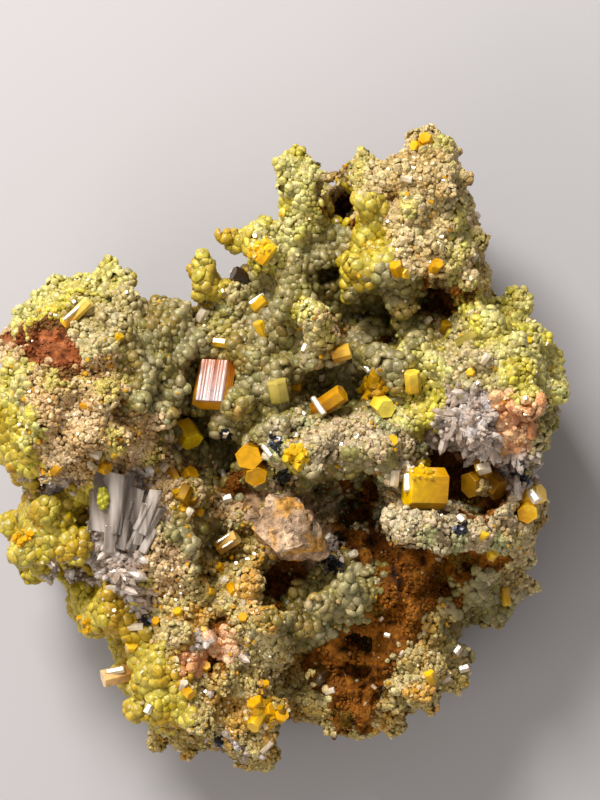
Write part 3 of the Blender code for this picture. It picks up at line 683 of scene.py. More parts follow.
# Nothing grew in the deepest gaps, so the rock shows there, dark from its painted shade under the crust.
GAP_SKY = (0.07, 0.25)
grown = sky > rng.uniform(*GAP_SKY, len(sky))
spots, normals, sizes, kinds, sky = (a[grown] for a in (spots, normals, sizes, kinds, sky))
palette = np.array([
    np.vstack([ground_stops(kind), linear(GROUND_COLOURS[kind][2])]) for kind in KINDS
])
patches = field(spots, PATCH_SPACING)
flecks = field(spots + 0.05, FLECK_SPACING)
# Crust is painted darkest, as painted shade, where it sees little sky and palest, partly as painted light,
# where it sees much, and its tone drifts in patches and flecks. Its odd patches take the same painted shade.
tone = 0.10 + sky * 0.62 + (patches - 0.5) * 0.9 + (flecks - 0.5) * 0.4 + rng.normal(0.0, 0.05, len(sky))
odd = np.clip((field(spots + 0.11, PATCH_SPACING * 1.3) - 0.57) * 9.0, 0.0, 0.85)[:, None]
odd_colours = palette[kinds, 4] * (0.5 + 0.8 * np.clip(tone, 0.0, 1.0)[:, None])
globule_colours = blend(ramp(palette[kinds, :4], tone), odd_colours, odd)
globule_colours *= rng.normal(1.0, 0.04, (len(tone), 1)) * rng.normal(1.0, 0.025, globule_colours.shape)
# Painted light and shade on each globule: its thin rim is painted paler, as light let through, its top a
# little darker, and its foot in the creases darker, as painted shade.
GLOBULE_SHADE_HEIGHTS = (-0.6, 0.0, 0.42, 0.80, 1.0)
GLOBULE_PAINTED_SHADES = (0.55, 0.95, 1.38, 1.02, 0.80)
# What share of each kind's globules are crumbs with flat faces.
FACETED_KINDS = {
    "tower": 0.35, "sandy": 0.55, "cream": 0.40, "olive sand": 0.50, "pale": 0.25, "peach": 0.15,
    "rust": 0.8, "red rust": 0.8, "yellow": 0.15,
}
faceted = rng.random(len(kinds)) < np.array([FACETED_KINDS.get(kind, 0.0) for kind in KINDS])[kinds]
# For each piece its kinds, and its finish: name, roughness, glow, how far light bleeds in it, grains a
# millimetre, how deep the grain is, and how dark the painted shade in its creases is.
CRUST_PIECES = {
    "grey_green_globules": (
        ["basin"], ("grey-green botryoidal pyromorphite", 0.42, 0.60, 0.32, 3.0, 0.06, 0.10),
    ),
    "lime_lobes": (["lime"], ("lime botryoidal pyromorphite", 0.40, 0.70, 0.45, 3.0, 0.05, 0.08)),
    "yellow_globules": (
        ["yellow", "pale"], ("yellow botryoidal pyromorphite", 0.42, 0.60, 0.35, 3.0, 0.07, 0.12),
    ),
    "tan_globules": (["tower"], ("tan botryoidal pyromorphite", 0.48, 0.40, 0.2, 3.4, 0.14, 0.24)),
    "sandy_druse": (["sandy", "peach"], ("sandy pyromorphite druse", 0.45, 0.35, 0.2, 3.6, 0.15, 0.26)),
    "cream_druse": (
        ["cream", "quartz", "fragment"], ("cream pyromorphite druse", 0.45, 0.40, 0.2, 3.6, 0.14, 0.24),
    ),
    "olive_druse": (["olive sand"], ("olive pyromorphite druse", 0.45, 0.35, 0.2, 3.6, 0.15, 0.26)),
    "rusty_crumbs": (["rust", "red rust"], ("limonite crumbs", 0.75, 0.0, 0.1, 3.0, 0.1, 0.25)),
}
# Larger globules have more sides. For each shape, the radii that it is for and whether it is a crumb.
ANY_RADIUS = 9.0
LARGE, MEDIUM, SMALL = globule_shape(9, 5, 0.68), globule_shape(6, 4, 0.72), globule_shape(5, 3, 0.78)
GLOBULE_SHAPES = (
    (LARGE_RADIUS, ANY_RADIUS, LARGE, False),
    (MEDIUM_RADIUS, LARGE_RADIUS, MEDIUM, False),
    (0.0, MEDIUM_RADIUS, SMALL, False),
    (0.0, CRISP_RADIUS, SMALL, True),
    (CRISP_RADIUS, ANY_RADIUS, MEDIUM, True),
)
UNEVENNESS = {False: 0.05, True: 0.12}
for piece_name, (piece_kinds, finish) in CRUST_PIECES.items():
    mine = np.isin(kinds, [KINDS.index(k) for k in piece_kinds])
    groups = []
    for smallest, largest, shape, crisp in GLOBULE_SHAPES:
        these = mine & (sizes > smallest) & (sizes <= largest) & (faceted == crisp)
        if not these.any():
            continue
        stretch = rng.uniform(0.88, 1.16, (int(these.sum()), 3))
        scale = sizes[these, None] * MM * stretch * (1.0, 1.0, GLOBULE_FLATNESS)
        centre = spots[these] + normals[these] * sizes[these, None] * MM * GLOBULE_STAND
        copies, triangles = repeated(shape, centre, scale, upright(normals[these], 0.30))
        uneven = rng.normal(0.0, UNEVENNESS[crisp], copies.shape[:2])[:, :, None]
        copies += (copies - centre[:, None, :]) * uneven
        shade = np.interp(shape[0][:, 2], GLOBULE_SHADE_HEIGHTS, GLOBULE_PAINTED_SHADES)
        colours = globule_colours[these][:, None, :] * shade[None, :, None]
        groups.append((copies, triangles, colours, not crisp))
    crust_mesh = joined_mesh(piece_name, groups)
    placed(piece_name, crust_mesh, waxy(*finish))

# Larger prisms
# Pyromorphite also grows as six-sided prisms 2 to 5 mm long, amber to lemon, glassy, with grooves along
# them and a flat end. They are rooted in the crust. For each prism of a crystal: centre (x, y, z),
# radius, how much wider it is than a regular one, length, axis, and the way its broad side looks.
GLINT = (-0.19, 0.37, 0.91)
PRISMS = {
    "striated_prism": [((-7.15, 7.9, 18.6), 1.35, 1.50, 4.9, (-0.13, -0.90, 0.40), GLINT)],
    "yellow_block": [((15.2, -3.0, 24.4), 1.60, 1.20, 4.2, (-0.93, 0.03, 0.36), (0.30, -0.10, 0.94))],
    "centre_prism": [((5.1, 6.0, 20.8), 0.95, 0.20, 3.9, (0.76, 0.52, 0.38), (-0.50, 0.60, 0.60))],
    "left_prism": [((-10.1, 2.6, 15.9), 1.20, 0.30, 2.6, (0.45, -0.70, 0.55), (0.10, 0.50, 0.86))],
    "nose_prism": [((6.4, 11.2, 22.5), 0.85, 0.0, 2.0, (0.95, 0.25, 0.10), (0.0, 0.0, 1.0))],
    "basin_prism": [((10.8, 5.6, 22.1), 1.10, 0.0, 2.2, (0.35, -0.30, 0.88), (0.0, 1.0, 0.3))],
    "knoll_prism": [((13.9, 8.2, 24.0), 0.85, 0.0, 2.2, (-0.10, 0.90, 0.42), (0.1, 0.0, 1.0))],
    "shoulder_lath": [((-21.4, 15.4, 24.3), 0.60, 0.10, 3.8, (0.70, 0.66, 0.25), (-0.60, 0.62, 0.50))],
    "rim_prism": [((-17.6, -23.5, 14.8), 0.95, 0.20, 3.6, (-0.93, -0.22, 0.28), GLINT)],
    "gully_prism": [((-5.8, -9.1, 15.6), 0.80, 0.20, 2.6, (0.82, 0.52, 0.22), GLINT)],
    "wall_prism": [((-1.6, 21.8, 22.8), 0.80, 0.0, 2.4, (0.60, 0.75, 0.28), (-0.55, 0.45, 0.70))],
    "orange_twin": [
        ((-3.2, 0.3, 21.5), 1.40, 0.20, 2.6, (-0.14, -0.10, 0.98), (0.2, 1.0, 0.2)),
        ((-2.7, -1.4, 21.2), 1.15, 0.20, 2.4, (0.10, -0.45, 0.89), (-0.4, 0.9, 0.3)),
    ],
    "vug_twin": [
        ((21.6, -1.2, 20.2), 0.95, 0.10, 3.2, GLINT, (1.0, 0.3, 0.0)),
        ((20.9, -2.5, 19.2), 1.25, 0.50, 2.6, (-0.70, -0.30, 0.60), (0.3, -0.4, 0.9)),
        ((22.7, -2.8, 19.2), 1.15, 0.30, 2.4, (0.60, -0.50, 0.55), (-0.5, 0.2, 0.85)),
    ],
    "edge_twin": [
        ((26.8, -4.1, 18.7), 1.00, 0.20, 2.8, (0.75, 0.30, 0.58), GLINT),
        ((26.4, -5.5, 18.7), 1.10, 0.20, 2.3, (-0.10, -0.40, 0.91), (-0.6, 0.7, 0.3)),
    ],
}
# Colours from the root of a prism to its end. The left prism's are painted lighter, as painted light
# against the shade it stands in, and the vug twin's darker, as painted shade of its vug.
PRISM_COLOURS = {
    "striated_prism": ("#9a4c04", "#d07c08", "#dc9a14"),
    "yellow_block": ("#c89000", "#e4b300", "#ecbe04"),
    "centre_prism": ("#985c00", "#b38400", "#c89410"),
    "left_prism": ("#ecac00", "#ffd40c", "#ffdc1c"),
    "nose_prism": ("#a07010", "#d49c14", "#dcb040"),
    "basin_prism": ("#e0b410", "#fce02c", "#fce85c"),
    "knoll_prism": ("#b88c08", "#e0b410", "#e8cc48"),
    "shoulder_lath": ("#d8a408", "#ecc41c", "#ecd470"),
    "rim_prism": ("#b07808", "#d89c28", "#e8c48c"),
    "gully_prism": ("#a87408", "#d09c20", "#e0bc70"),
    "wall_prism": ("#dca000", "#f8c804", "#fcd018"),
    "orange_twin": ("#a87000", "#cc9100", "#d39c04"),
    "vug_twin": ("#805400", "#9c7004", "#b48418"),
    "edge_twin": ("#d89808", "#f8c418", "#fcd048"),
}
STRIPS_A_SIDE = 28
GROOVE_SHARE = 0.42
DEEP_GROOVE = 0.036
FAINT_GROOVE = 0.008
RIM_BEVEL = 0.05
END_BORDER = 0.22
END_SINK = 0.02


def grooved_prism(bm, groove, centre, radius, widening, length, axis, broad_side):
    """A six-sided prism with a broad side face, grooves along its sides and a sunk panel at each end."""
    strips = 6 * STRIPS_A_SIDE
    made = bmesh.ops.create_cone(
        bm, cap_ends=True, segments=strips, radius1=radius * MM, radius2=radius * MM, depth=length * MM,
    )
    walls = made["verts"]
    flat = radius * math.cos(math.pi / 6.0)
    steps = np.where(rng.random(strips) < GROOVE_SHARE, rng.uniform(0.4, 1.0, strips), 0.0) * groove
    for vert in walls:
        turn = math.atan2(vert.co.y, vert.co.x)
        strip = round(turn / (2.0 * math.pi) * strips) % strips
        to_side = turn % (math.pi / 3.0) - math.pi / 6.0
        reach = (flat - steps[strip]) / math.cos(to_side)
        vert.co.x, vert.co.y = reach * MM * math.cos(turn), reach * MM * math.sin(turn)
        vert.co.x += widening / 2.0 * MM * max(-1.0, min(1.0, vert.co.x / (radius * 0.5 * MM)))
    caps = [f for f in {f for v in walls for f in v.link_faces} if len(f.verts) > 4]
    rims = list({e for f in caps for e in f.edges})
    bevelled = bmesh.ops.bevel(
        bm, geom=rims, offset=RIM_BEVEL * MM, segments=1, profile=0.5, affect="EDGES", material=-1,
    )
    own = {v for v in walls if v.is_valid} | {v for f in bevelled["faces"] for v in f.verts}
    caps = [f for f in {f for v in own for f in v.link_faces} if len(f.verts) > 8]
    bmesh.ops.inset_individual(bm, faces=caps, thickness=0.0, depth=-END_SINK * MM)
    panel = {v for f in caps for v in f.verts}
    shrink = 1.0 - END_BORDER / radius
    bmesh.ops.scale(bm, vec=(shrink, shrink, 1.0), verts=list(panel))
    own |= panel | set(bmesh.ops.poke(bm, faces=caps)["verts"])
    along = Vector(axis).normalized()
    side = Vector(broad_side)
    side = (side - along * side.dot(along)).normalized()
    turn = Matrix((side.cross(along), side, along)).transposed().to_4x4()
    bmesh.ops.transform(bm, matrix=Matrix.Translation(Vector(centre) * MM) @ turn, verts=list(own))


def mesh_of(bm, name):
    bmesh.ops.recalc_face_normals(bm, faces=bm.faces)
    mesh = bpy.data.meshes.new(name)
    bm.to_mesh(mesh)
    bm.free()
    return mesh


def glassy(name, roughness, glow):
    """Glassy lead chlorophosphate, clear enough for light to travel a millimetre, with cloudy veils."""
    made, tree, shader = new_material(name)
    clouds = {"Scale": 0.9 / MM, "Detail": 5.0, "Distortion": 0.6}
    place, veils, shaded = mottled(tree, "crystal_tint", clouds, (0.32, 0.68), (0.80, 1.18))
    tree.links.new(shaded, shader.inputs["Base Color"])
    worn = node(
        tree, "ShaderNodeMapRange",
        {"Value": veils, "From Min": 0.3, "From Max": 0.7, "To Min": roughness, "To Max": roughness + 0.2},
    )
    tree.links.new(worn.outputs["Result"], shader.inputs["Roughness"])
    pits = node(tree, "ShaderNodeTexNoise", {"Vector": place, "Scale": 4.0 / MM, "Detail": 2.0})
    bump = node(
        tree, "ShaderNodeBump", {"Strength": 0.35, "Distance": 0.03 * MM, "Height": pits.outputs["Fac"]},
    )
    tree.links.new(bump.outputs["Normal"], shader.inputs["Normal"])
    shader.inputs["IOR"].default_value = 1.6
    shader.inputs["Subsurface Weight"].default_value = glow
    shader.inputs["Subsurface Radius"].default_value = (1.0, 0.8, 0.3)
    shader.inputs["Subsurface Scale"].default_value = 0.3 * MM
    return made


amber = glassy("amber pyromorphite crystal", 0.06, 0.45)
frosted = glassy("growth-frosted pyromorphite crystal", 0.26, 0.35)
for crystal, members in PRISMS.items():
    striated = crystal == "striated_prism"
    bm = bmesh.new()
    for member in members:
        grooved_prism(bm, DEEP_GROOVE if striated else FAINT_GROOVE, *member)
    mesh = mesh_of(bm, crystal)
    stops = np.array([linear(c) for c in PRISM_COLOURS[crystal]])
    foot = Vector(members[0][0]) * MM
    along = Vector(members[0][4]).normalized()
    reach = (positions(mesh) - np.array(foot)) @ np.array(along) / (members[0][3] * MM) + 0.5
    tone = reach + (field(positions(mesh), 0.9) - 0.5) * 0.5 * (np.abs(reach - 0.5) < 0.47)
    colours = toned(stops, tone)
    if striated:
        # Its broad side, turned to mirror the key light, is painted pale pinkish, partly as frosting by
        # growth lines and partly as a painted reflection, with amber between them.
        side = np.array(Vector(members[0][5]).normalized())
        offset = (positions(mesh) - np.array(foot)) / MM
        frost_and_sheen = np.clip((offset @ side - 1.05) * 12.0, 0.0, 0.95)[:, None]
        colours = blend(colours, linear("#a6949a"), frost_and_sheen)
    tint(mesh, "crystal_tint", colours)
    placed(f"{crystal}_crystal", mesh, frosted if striated else amber, [crystal])

# Small prisms
# Stubby pyromorphite prisms, up to 3.6 mm long, stand singly and in clusters all over the crust,
# amber, lemon and nearly clear. Those named flash, and those whose axis is GLINT, lie with a side
# face that mirrors the key light to the viewer.
# Colours from the root of a small prism to its end.
SMALL_COLOURS = {
    "orange": ("#b88000", "#dca404"), "yellow": ("#b88c08", "#e4b818"),
    "clear": ("#b8a480", "#e8dcc8"), "flash": ("#b8a480", "#e8dcc8"),
    "dusty": ("#8c7444", "#c8ac74"), "mustard": ("#845c00", "#b48808"),
    "olive": ("#847828", "#c4b058"), "brown": ("#1c1002", "#3c2606"),
}
# For each small prism: where it stands (x, y), radius, length, axis, and colour.
SMALL_PRISMS = [
    (12.0, -2.0, 0.55, 1.7, (0.10, 1.0, -0.10), "clear"),
    (-4.2, 19.5, 0.90, 2.2, (-0.75, 0.30, 0.55), "brown"), (-4.6, 19.9, 0.32, 0.7, GLINT, "flash"),
    (1.2, 0.9, 0.60, 1.0, (0.3, 0.2, 0.9), "yellow"), (2.2, 0.2, 0.55, 0.9, (-0.3, 0.4, 0.85), "yellow"),
    (1.8, -0.6, 0.50, 0.9, (0.5, -0.4, 0.75), "yellow"),
    (-1.4, 0.3, 0.42, 1.1, (0.9, -0.2, 0.3), "clear"),
    (26.95, -4.0, 0.55, 1.5, (0.50, -0.85, 0.0), "flash"),
    (21.5, -0.95, 0.72, 1.4, (1.0, 0.25, 0.0), "flash"),
    (-2.6, 17.0, 0.40, 1.9, (0.82, 0.57, 0.0), "flash"),
    (-17.9, -23.0, 0.45, 2.0, (0.97, 0.15, 0.0), "flash"),
    (4.0, 5.6, 0.36, 2.4, (0.54, -0.84, 0.0), "flash"),
    (13.3, -2.4, 0.48, 1.9, (0.1, -1.0, 0.0), "flash"),
    (-6.1, -8.6, 0.16, 2.0, (0.82, 0.57, 0.0), "flash"),
    (-5.6, -9.2, 0.14, 1.8, (0.82, 0.57, 0.0), "flash"),
    (-21.6, 15.6, 0.20, 3.0, (0.70, 0.66, 0.0), "flash"),
    (-1.4, 0.9, 0.30, 1.6, (0.60, -0.80, 0.0), "flash"),
    (-17.0, 12.6, 0.50, 1.3, (0.5, 0.6, 0.6), "yellow"),
    (-20.1, 5.7, 0.45, 1.4, (0.95, 0.1, 0.3), "orange"), (-19.4, 0.6, 0.50, 1.2, GLINT, "clear"),
    (-18.7, -0.8, 0.70, 1.5, (0.6, -0.3, 0.7), "orange"), (-19.8, -0.6, 0.40, 1.0, GLINT, "clear"),
    (-17.3, 0.6, 0.40, 0.9, (0.3, 0.4, 0.9), "yellow"), (-11.9, 2.4, 0.48, 1.2, GLINT, "clear"),
    (-11.1, 1.4, 0.42, 1.0, GLINT, "clear"), (-12.5, -0.9, 0.45, 1.0, GLINT, "clear"),
    (-11.4, -1.8, 0.55, 1.5, (0.3, -0.6, 0.6), "orange"),
    (-10.0, -1.9, 0.85, 1.8, (0.5, 0.4, 0.7), "orange"),
    (-10.3, -3.7, 0.80, 1.8, (-0.3, -0.7, 0.6), "mustard"),
    (-9.0, -5.6, 0.55, 1.3, (0.6, -0.3, 0.7), "orange"),
    (-9.8, -5.8, 0.40, 1.2, (0.5, 0.8, 0.4), "clear"), (-6.3, -1.8, 0.40, 0.9, GLINT, "clear"),
    (-5.8, -4.4, 0.48, 1.0, GLINT, "clear"), (-6.6, 12.4, 0.55, 1.6, (0.9, -0.1, 0.3), "yellow"),
    (-8.5, 15.4, 0.60, 1.6, (0.4, 0.7, 0.5), "clear"),
    (-23.5, -1.0, 0.60, 1.3, (0.4, 0.5, 0.7), "orange"),
    (-2.3, 16.6, 0.70, 1.8, (0.7, 0.5, 0.4), "yellow"),
    (-2.2, 13.8, 0.65, 1.8, (-0.3, 0.8, 0.5), "yellow"), (2.5, 11.7, 0.40, 0.9, GLINT, "clear"),
    (1.4, 7.7, 0.55, 1.4, (0.9, 0.0, 0.4), "orange"), (4.4, 8.7, 0.38, 0.9, (0.0, 0.5, 0.85), "clear"),
    (-4.7, 19.7, 0.55, 1.5, (-0.5, 0.6, 0.6), "clear"),
    (12.2, 20.0, 0.75, 1.5, (-0.2, 0.5, 0.8), "orange"),
    (12.9, 19.6, 0.65, 1.3, (0.5, -0.2, 0.8), "yellow"),
    (16.3, 20.3, 0.75, 1.4, (0.2, 0.3, 0.9), "orange"), (20.4, 21.4, 0.48, 1.1, GLINT, "clear"),
    (15.7, 14.7, 0.35, 1.0, (0.4, 0.4, 0.8), "clear"),
    (17.6, 14.0, 0.60, 1.4, (0.1, 0.5, 0.8), "mustard"),
    (20.1, 12.9, 0.55, 3.6, (0.86, 0.46, 0.2), "olive"),
    (21.3, 10.5, 0.40, 1.2, (0.5, 0.7, 0.5), "clear"), (20.0, 9.0, 0.50, 1.1, (-0.2, 0.3, 0.9), "yellow"),
    (9.3, 9.6, 0.35, 0.9, GLINT, "clear"), (9.9, 8.4, 0.75, 1.8, (0.2, 0.6, 0.75), "mustard"),
    (10.2, 7.2, 0.65, 1.6, (0.4, -0.5, 0.75), "mustard"),
    (9.3, 7.5, 0.55, 1.4, (-0.5, 0.2, 0.8), "mustard"), (11.7, 1.9, 0.65, 1.0, (0.0, 0.2, 1.0), "yellow"),
    (14.4, -0.6, 0.30, 0.8, GLINT, "clear"), (23.1, 0.1, 0.38, 0.9, GLINT, "clear"),
    (19.0, -6.3, 0.42, 0.9, GLINT, "clear"), (21.4, -8.0, 0.45, 1.0, (0.3, 0.5, 0.8), "yellow"),
    (22.5, -10.2, 0.60, 1.2, (0.2, 0.4, 0.9), "yellow"), (5.1, -8.5, 0.38, 0.8, GLINT, "clear"),
    (7.6, -10.3, 0.42, 1.2, (0.6, 0.3, 0.7), "clear"),
    (15.4, 33.6, 0.75, 1.5, (-0.2, 0.3, 0.9), "orange"),
    (14.4, 33.0, 0.60, 1.2, (-0.5, 0.1, 0.8), "yellow"),
    (13.2, 29.4, 0.45, 1.3, (0.8, -0.2, 0.5), "clear"), (21.0, 26.0, 0.45, 1.1, (0.3, 0.4, 0.8), "clear"),
    (26.1, 12.4, 0.42, 0.9, (0.0, 0.3, 0.95), "yellow"),
    (-15.6, -18.0, 0.48, 2.0, (0.93, 0.1, 0.35), "clear"),
    (-16.0, -20.1, 0.80, 1.3, (0.1, 0.3, 0.95), "yellow"), (-14.0, -26.5, 0.48, 1.0, GLINT, "clear"),
    (-10.3, -23.9, 0.45, 1.2, (0.2, 0.5, 0.8), "clear"),
    (-9.8, -24.6, 0.60, 1.3, (0.5, -0.4, 0.8), "orange"),
    (-3.9, -15.2, 0.32, 1.9, (0.05, 0.9, 0.4), "clear"),
    (-4.0, -16.8, 0.55, 1.0, (0.0, 0.2, 1.0), "orange"),
    (-6.1, -13.1, 0.38, 1.1, (0.5, 0.5, 0.7), "clear"),
    (-6.6, -12.0, 0.55, 1.3, (-0.4, 0.5, 0.75), "orange"),
    (-5.2, -13.9, 0.50, 1.2, (0.3, -0.5, 0.8), "orange"),
    (-7.5, -14.2, 0.45, 1.1, (-0.4, 0.1, 0.9), "yellow"),
    (-13.4, -17.4, 0.50, 1.0, (0.1, 0.3, 0.95), "orange"),
    (-10.8, -16.3, 0.45, 1.0, (-0.2, 0.4, 0.9), "yellow"),
    (-7.9, -22.1, 0.50, 0.9, (0.0, 0.3, 0.95), "orange"),
    (-2.5, -26.4, 0.85, 2.0, (-0.3, 0.5, 0.8), "orange"),
    (-1.5, -26.9, 0.75, 1.8, (0.5, 0.2, 0.8), "orange"),
    (-2.6, -28.0, 0.80, 1.8, (-0.3, -0.5, 0.8), "yellow"),
    (-1.6, -28.2, 0.60, 1.6, (0.3, -0.6, 0.7), "orange"),
    (-1.9, -28.1, 0.24, 1.8, (0.45, -0.8, 0.35), "clear"),
    (0.0, -27.5, 0.80, 1.3, (0.2, 0.2, 0.95), "orange"),
    (-1.5, -30.9, 0.30, 1.6, (0.6, 0.7, 0.35), "clear"),
    (-1.7, -24.1, 0.42, 0.9, (0.2, 0.4, 0.9), "orange"),
    (24.5, -15.2, 0.60, 2.0, (0.15, -0.9, 0.35), "yellow"), (19.1, -20.8, 0.42, 1.0, GLINT, "clear"),
    (19.9, -22.9, 0.45, 1.1, GLINT, "clear"), (17.7, -23.9, 0.48, 1.2, GLINT, "clear"),
    (5.3, -25.1, 0.36, 1.1, (0.8, 0.3, 0.5), "clear"),
    (4.2, -23.4, 1.05, 1.3, (0.45, -0.40, 0.80), "brown"),
    (16.0, -23.4, 0.60, 1.5, (-0.3, 0.6, 0.7), "yellow"),
    (-0.2, 7.2, 1.10, 2.4, (-0.2, 0.9, 0.45), "olive"), (-6.0, 2.6, 0.35, 0.8, (0.2, 0.4, 0.9), "clear"),
    (11.4, -18.9, 0.32, 0.7, GLINT, "clear"), (29.6, 5.3, 0.40, 0.9, GLINT, "clear"),
]
# Crusts of tiny crystals grown together: middle (x, y), reach, how many, radii, and colour.
CLUSTERS = [
    (1.7, 0.4, 1.3, 46, (0.16, 0.42), "yellow"), (15.2, -1.0, 1.1, 34, (0.14, 0.36), "yellow"),
    (13.6, -0.6, 0.6, 14, (0.12, 0.30), "clear"), (-1.8, -27.0, 1.5, 30, (0.22, 0.60), "mustard"),
    (9.8, 7.8, 1.4, 30, (0.22, 0.50), "mustard"), (-2.3, 22.4, 1.2, 20, (0.16, 0.40), "yellow"),
    (-27.4, -8.4, 0.9, 16, (0.18, 0.42), "orange"), (-21.0, -18.0, 0.9, 12, (0.18, 0.36), "orange"),
    (-10.0, -4.4, 1.4, 20, (0.20, 0.45), "mustard"), (21.6, -3.2, 0.9, 26, (0.14, 0.40), "dusty"),
]
CLUSTER_SPREAD = 0.45
SMALL_STAND = 0.10
# Axes were judged from above, where they look more upright than they are.
LEANING = Vector((1.0, 1.0, 0.6))
CRYSTAL_GAP = 0.3
STRAY_COUNT = 3500
STRAY_RADIUS = (0.07, 0.25)
FLASHING_SHARE = 0.05
CLEAR_SHARE = 0.20
HONEY_SHARE = 0.10
# How densely strays stand on each kind of ground. The densest has MOST_STRAYS.
MOST_STRAYS = 1.3
STRAY_KINDS = {
    "yellow": 0.6, "sandy": 1.3, "olive sand": 1.3, "tower": 1.2, "cream": 1.2, "pale": 0.9,
    "lime": 0.15, "basin": 0.2, "peach": 1.3, "rust": 0.25, "red rust": 0.15,
}


def covered_surface(names):
    """What shows from outside of those pieces, for rays to be cast on."""
    bm = bmesh.new()
    for name in names:
        bm.from_mesh(bpy.data.objects[name].data)
    tree = BVHTree.FromBMesh(bm)
    bm.free()
    return tree


def prism_shape(edge):
    """A short six-sided prism's corners and triangles, one unit in radius and in length."""
    bm = bmesh.new()
    bmesh.ops.create_cone(bm, cap_ends=True, segments=6, radius1=1.0, radius2=1.0, depth=1.0)
    if edge:
        bmesh.ops.bevel(
            bm, geom=bm.edges[:], offset=edge, segments=1, profile=0.5, affect="EDGES", material=-1,
        )
    return shape_of(bm)


def lying(along, jitter):
    """Rotation matrices that lay copies across the light, with a side face that flashes to the viewer."""
    face = np.array(Vector(GLINT).normalized()) + rng.normal(0.0, jitter, along.shape)
    face /= np.linalg.norm(face, axis=1, keepdims=True)
    along = along - face * (along * face).sum(axis=1, keepdims=True)
    along /= np.linalg.norm(along, axis=1, keepdims=True)
    return np.stack([face, np.cross(along, face), along], axis=2)


def above(x, y):
    """A point in metres high over a place on the display face, for rays to start from."""
    return Vector((x, y, 0.0)) * MM + Vector((0.0, 0.0, CLEAR_HEIGHT))


crusted = ["limonite_rock", *CRUST_PIECES]
crust_top = covered_surface(crusted)
solid_top = covered_surface(crusted + [f"{crystal}_crystal" for crystal in PRISMS])
groups = {"amber": [], "clear": []}
bevelled_prism = prism_shape(0.07)
clustered = [
    (
        x + rng.normal(0.0, reach * CLUSTER_SPREAD), y + rng.normal(0.0, reach * CLUSTER_SPREAD),
        radius, radius * rng.uniform(1.6, 2.6), (rng.normal(0.0, 0.5), rng.normal(0.0, 0.5), 1.0), colour,
    )
    for x, y, reach, count, radii, colour in CLUSTERS for radius in rng.uniform(*radii, count)
]
for x, y, radius, length, axis, colour in SMALL_PRISMS + clustered:
    hit = solid_top.ray_cast(above(x, y), DISPLAY_SIDE)[0]
    if hit is None:
        continue
    centre = np.array([hit + Vector((0.0, 0.0, radius * SMALL_STAND * MM))])
    scale = np.array([[radius, radius * rng.uniform(0.85, 1.15), length]]) * MM
    turn = upright(np.array([(Vector(axis) * LEANING).normalized()]), 0.02)
    if axis == GLINT or colour == "flash":
        turn = lying(np.array([axis if colour == "flash" else rng.normal(size=3)]), 0.0)
    copies, triangles = repeated(bevelled_prism, centre, scale, turn)
    stops = np.array([linear(c) for c in SMALL_COLOURS[colour]])
    colours = blend(stops[0], stops[1], bevelled_prism[0][:, 2:3] + 0.5)[None]
    groups["clear" if colour in ("clear", "flash") else "amber"].append((copies, triangles, colours, False))

# Stray crystals too small to place one by one.
where, facing = surface_samples(rock_skin, 30 * STRAY_COUNT)
stray_kinds = ground_shares(where, facing).argmax(axis=1)
wanted = np.array([STRAY_KINDS.get(kind, 0.0) for kind in KINDS])[stray_kinds]
wanted = wanted * (facing[:, 2] > 0.1) * (where[:, 2] > BARE_HEIGHT * MM)
order = rng.permutation(np.flatnonzero(rng.random(len(where)) < wanted / MOST_STRAYS))[:STRAY_COUNT]
stray_spots = []
for index in order:
    spot = Vector(where[index])
    hit = crust_top.ray_cast(spot + Vector(facing[index]) * 1.5 * MM, -Vector(facing[index]))[0]
    if hit and clear_of_crystals(hit, CRYSTAL_GAP * MM):
        stray_spots.append((hit[:], facing[index], stray_kinds[index]))
stray_centres = np.array([s[0] for s in stray_spots])
stray_facing = np.array([s[1] for s in stray_spots])
stray_size = rng.uniform(*STRAY_RADIUS, len(stray_spots))
stray_length = stray_size * rng.uniform(1.4, 3.0, len(stray_size))
stray_scale = np.stack([stray_size, stray_size, stray_length], axis=1) * MM
stray_turns = upright(stray_facing, 0.55)
flashing = rng.random(len(stray_spots)) < FLASHING_SHARE
stray_turns[flashing] = lying(rng.normal(size=(int(flashing.sum()), 3)), 0.06)
copies, triangles = repeated(prism_shape(0.0), stray_centres, stray_scale, stray_turns)
is_clear = flashing | (rng.random(len(stray_spots)) < CLEAR_SHARE)
stray_tone = np.clip(rng.normal(0.72, 0.22, len(stray_spots)), 0.0, 1.0)
stray_colours = ramp(palette[np.array([s[2] for s in stray_spots])][:, :4], stray_tone) * 1.12
honey = rng.random(len(stray_spots)) < HONEY_SHARE
stray_colours[honey] = linear("#d8a01c")
stray_colours[is_clear] = blend(stray_colours[is_clear], linear("#e0d4bc"), 0.5)
colours = np.repeat(stray_colours[:, None, :], copies.shape[1], axis=1)
for group, these in (("clear", is_clear), ("amber", ~is_clear)):
    groups[group].append((copies[these], triangles[:int(these.sum())], colours[these], False))
placed("small_amber_prisms", joined_mesh("small_amber_prisms", groups["amber"]), amber)
pale_glass = glassy("pale pyromorphite crystal", 0.06, 0.25)
placed("small_pale_prisms", joined_mesh("small_pale_prisms", groups["clear"]), pale_glass)

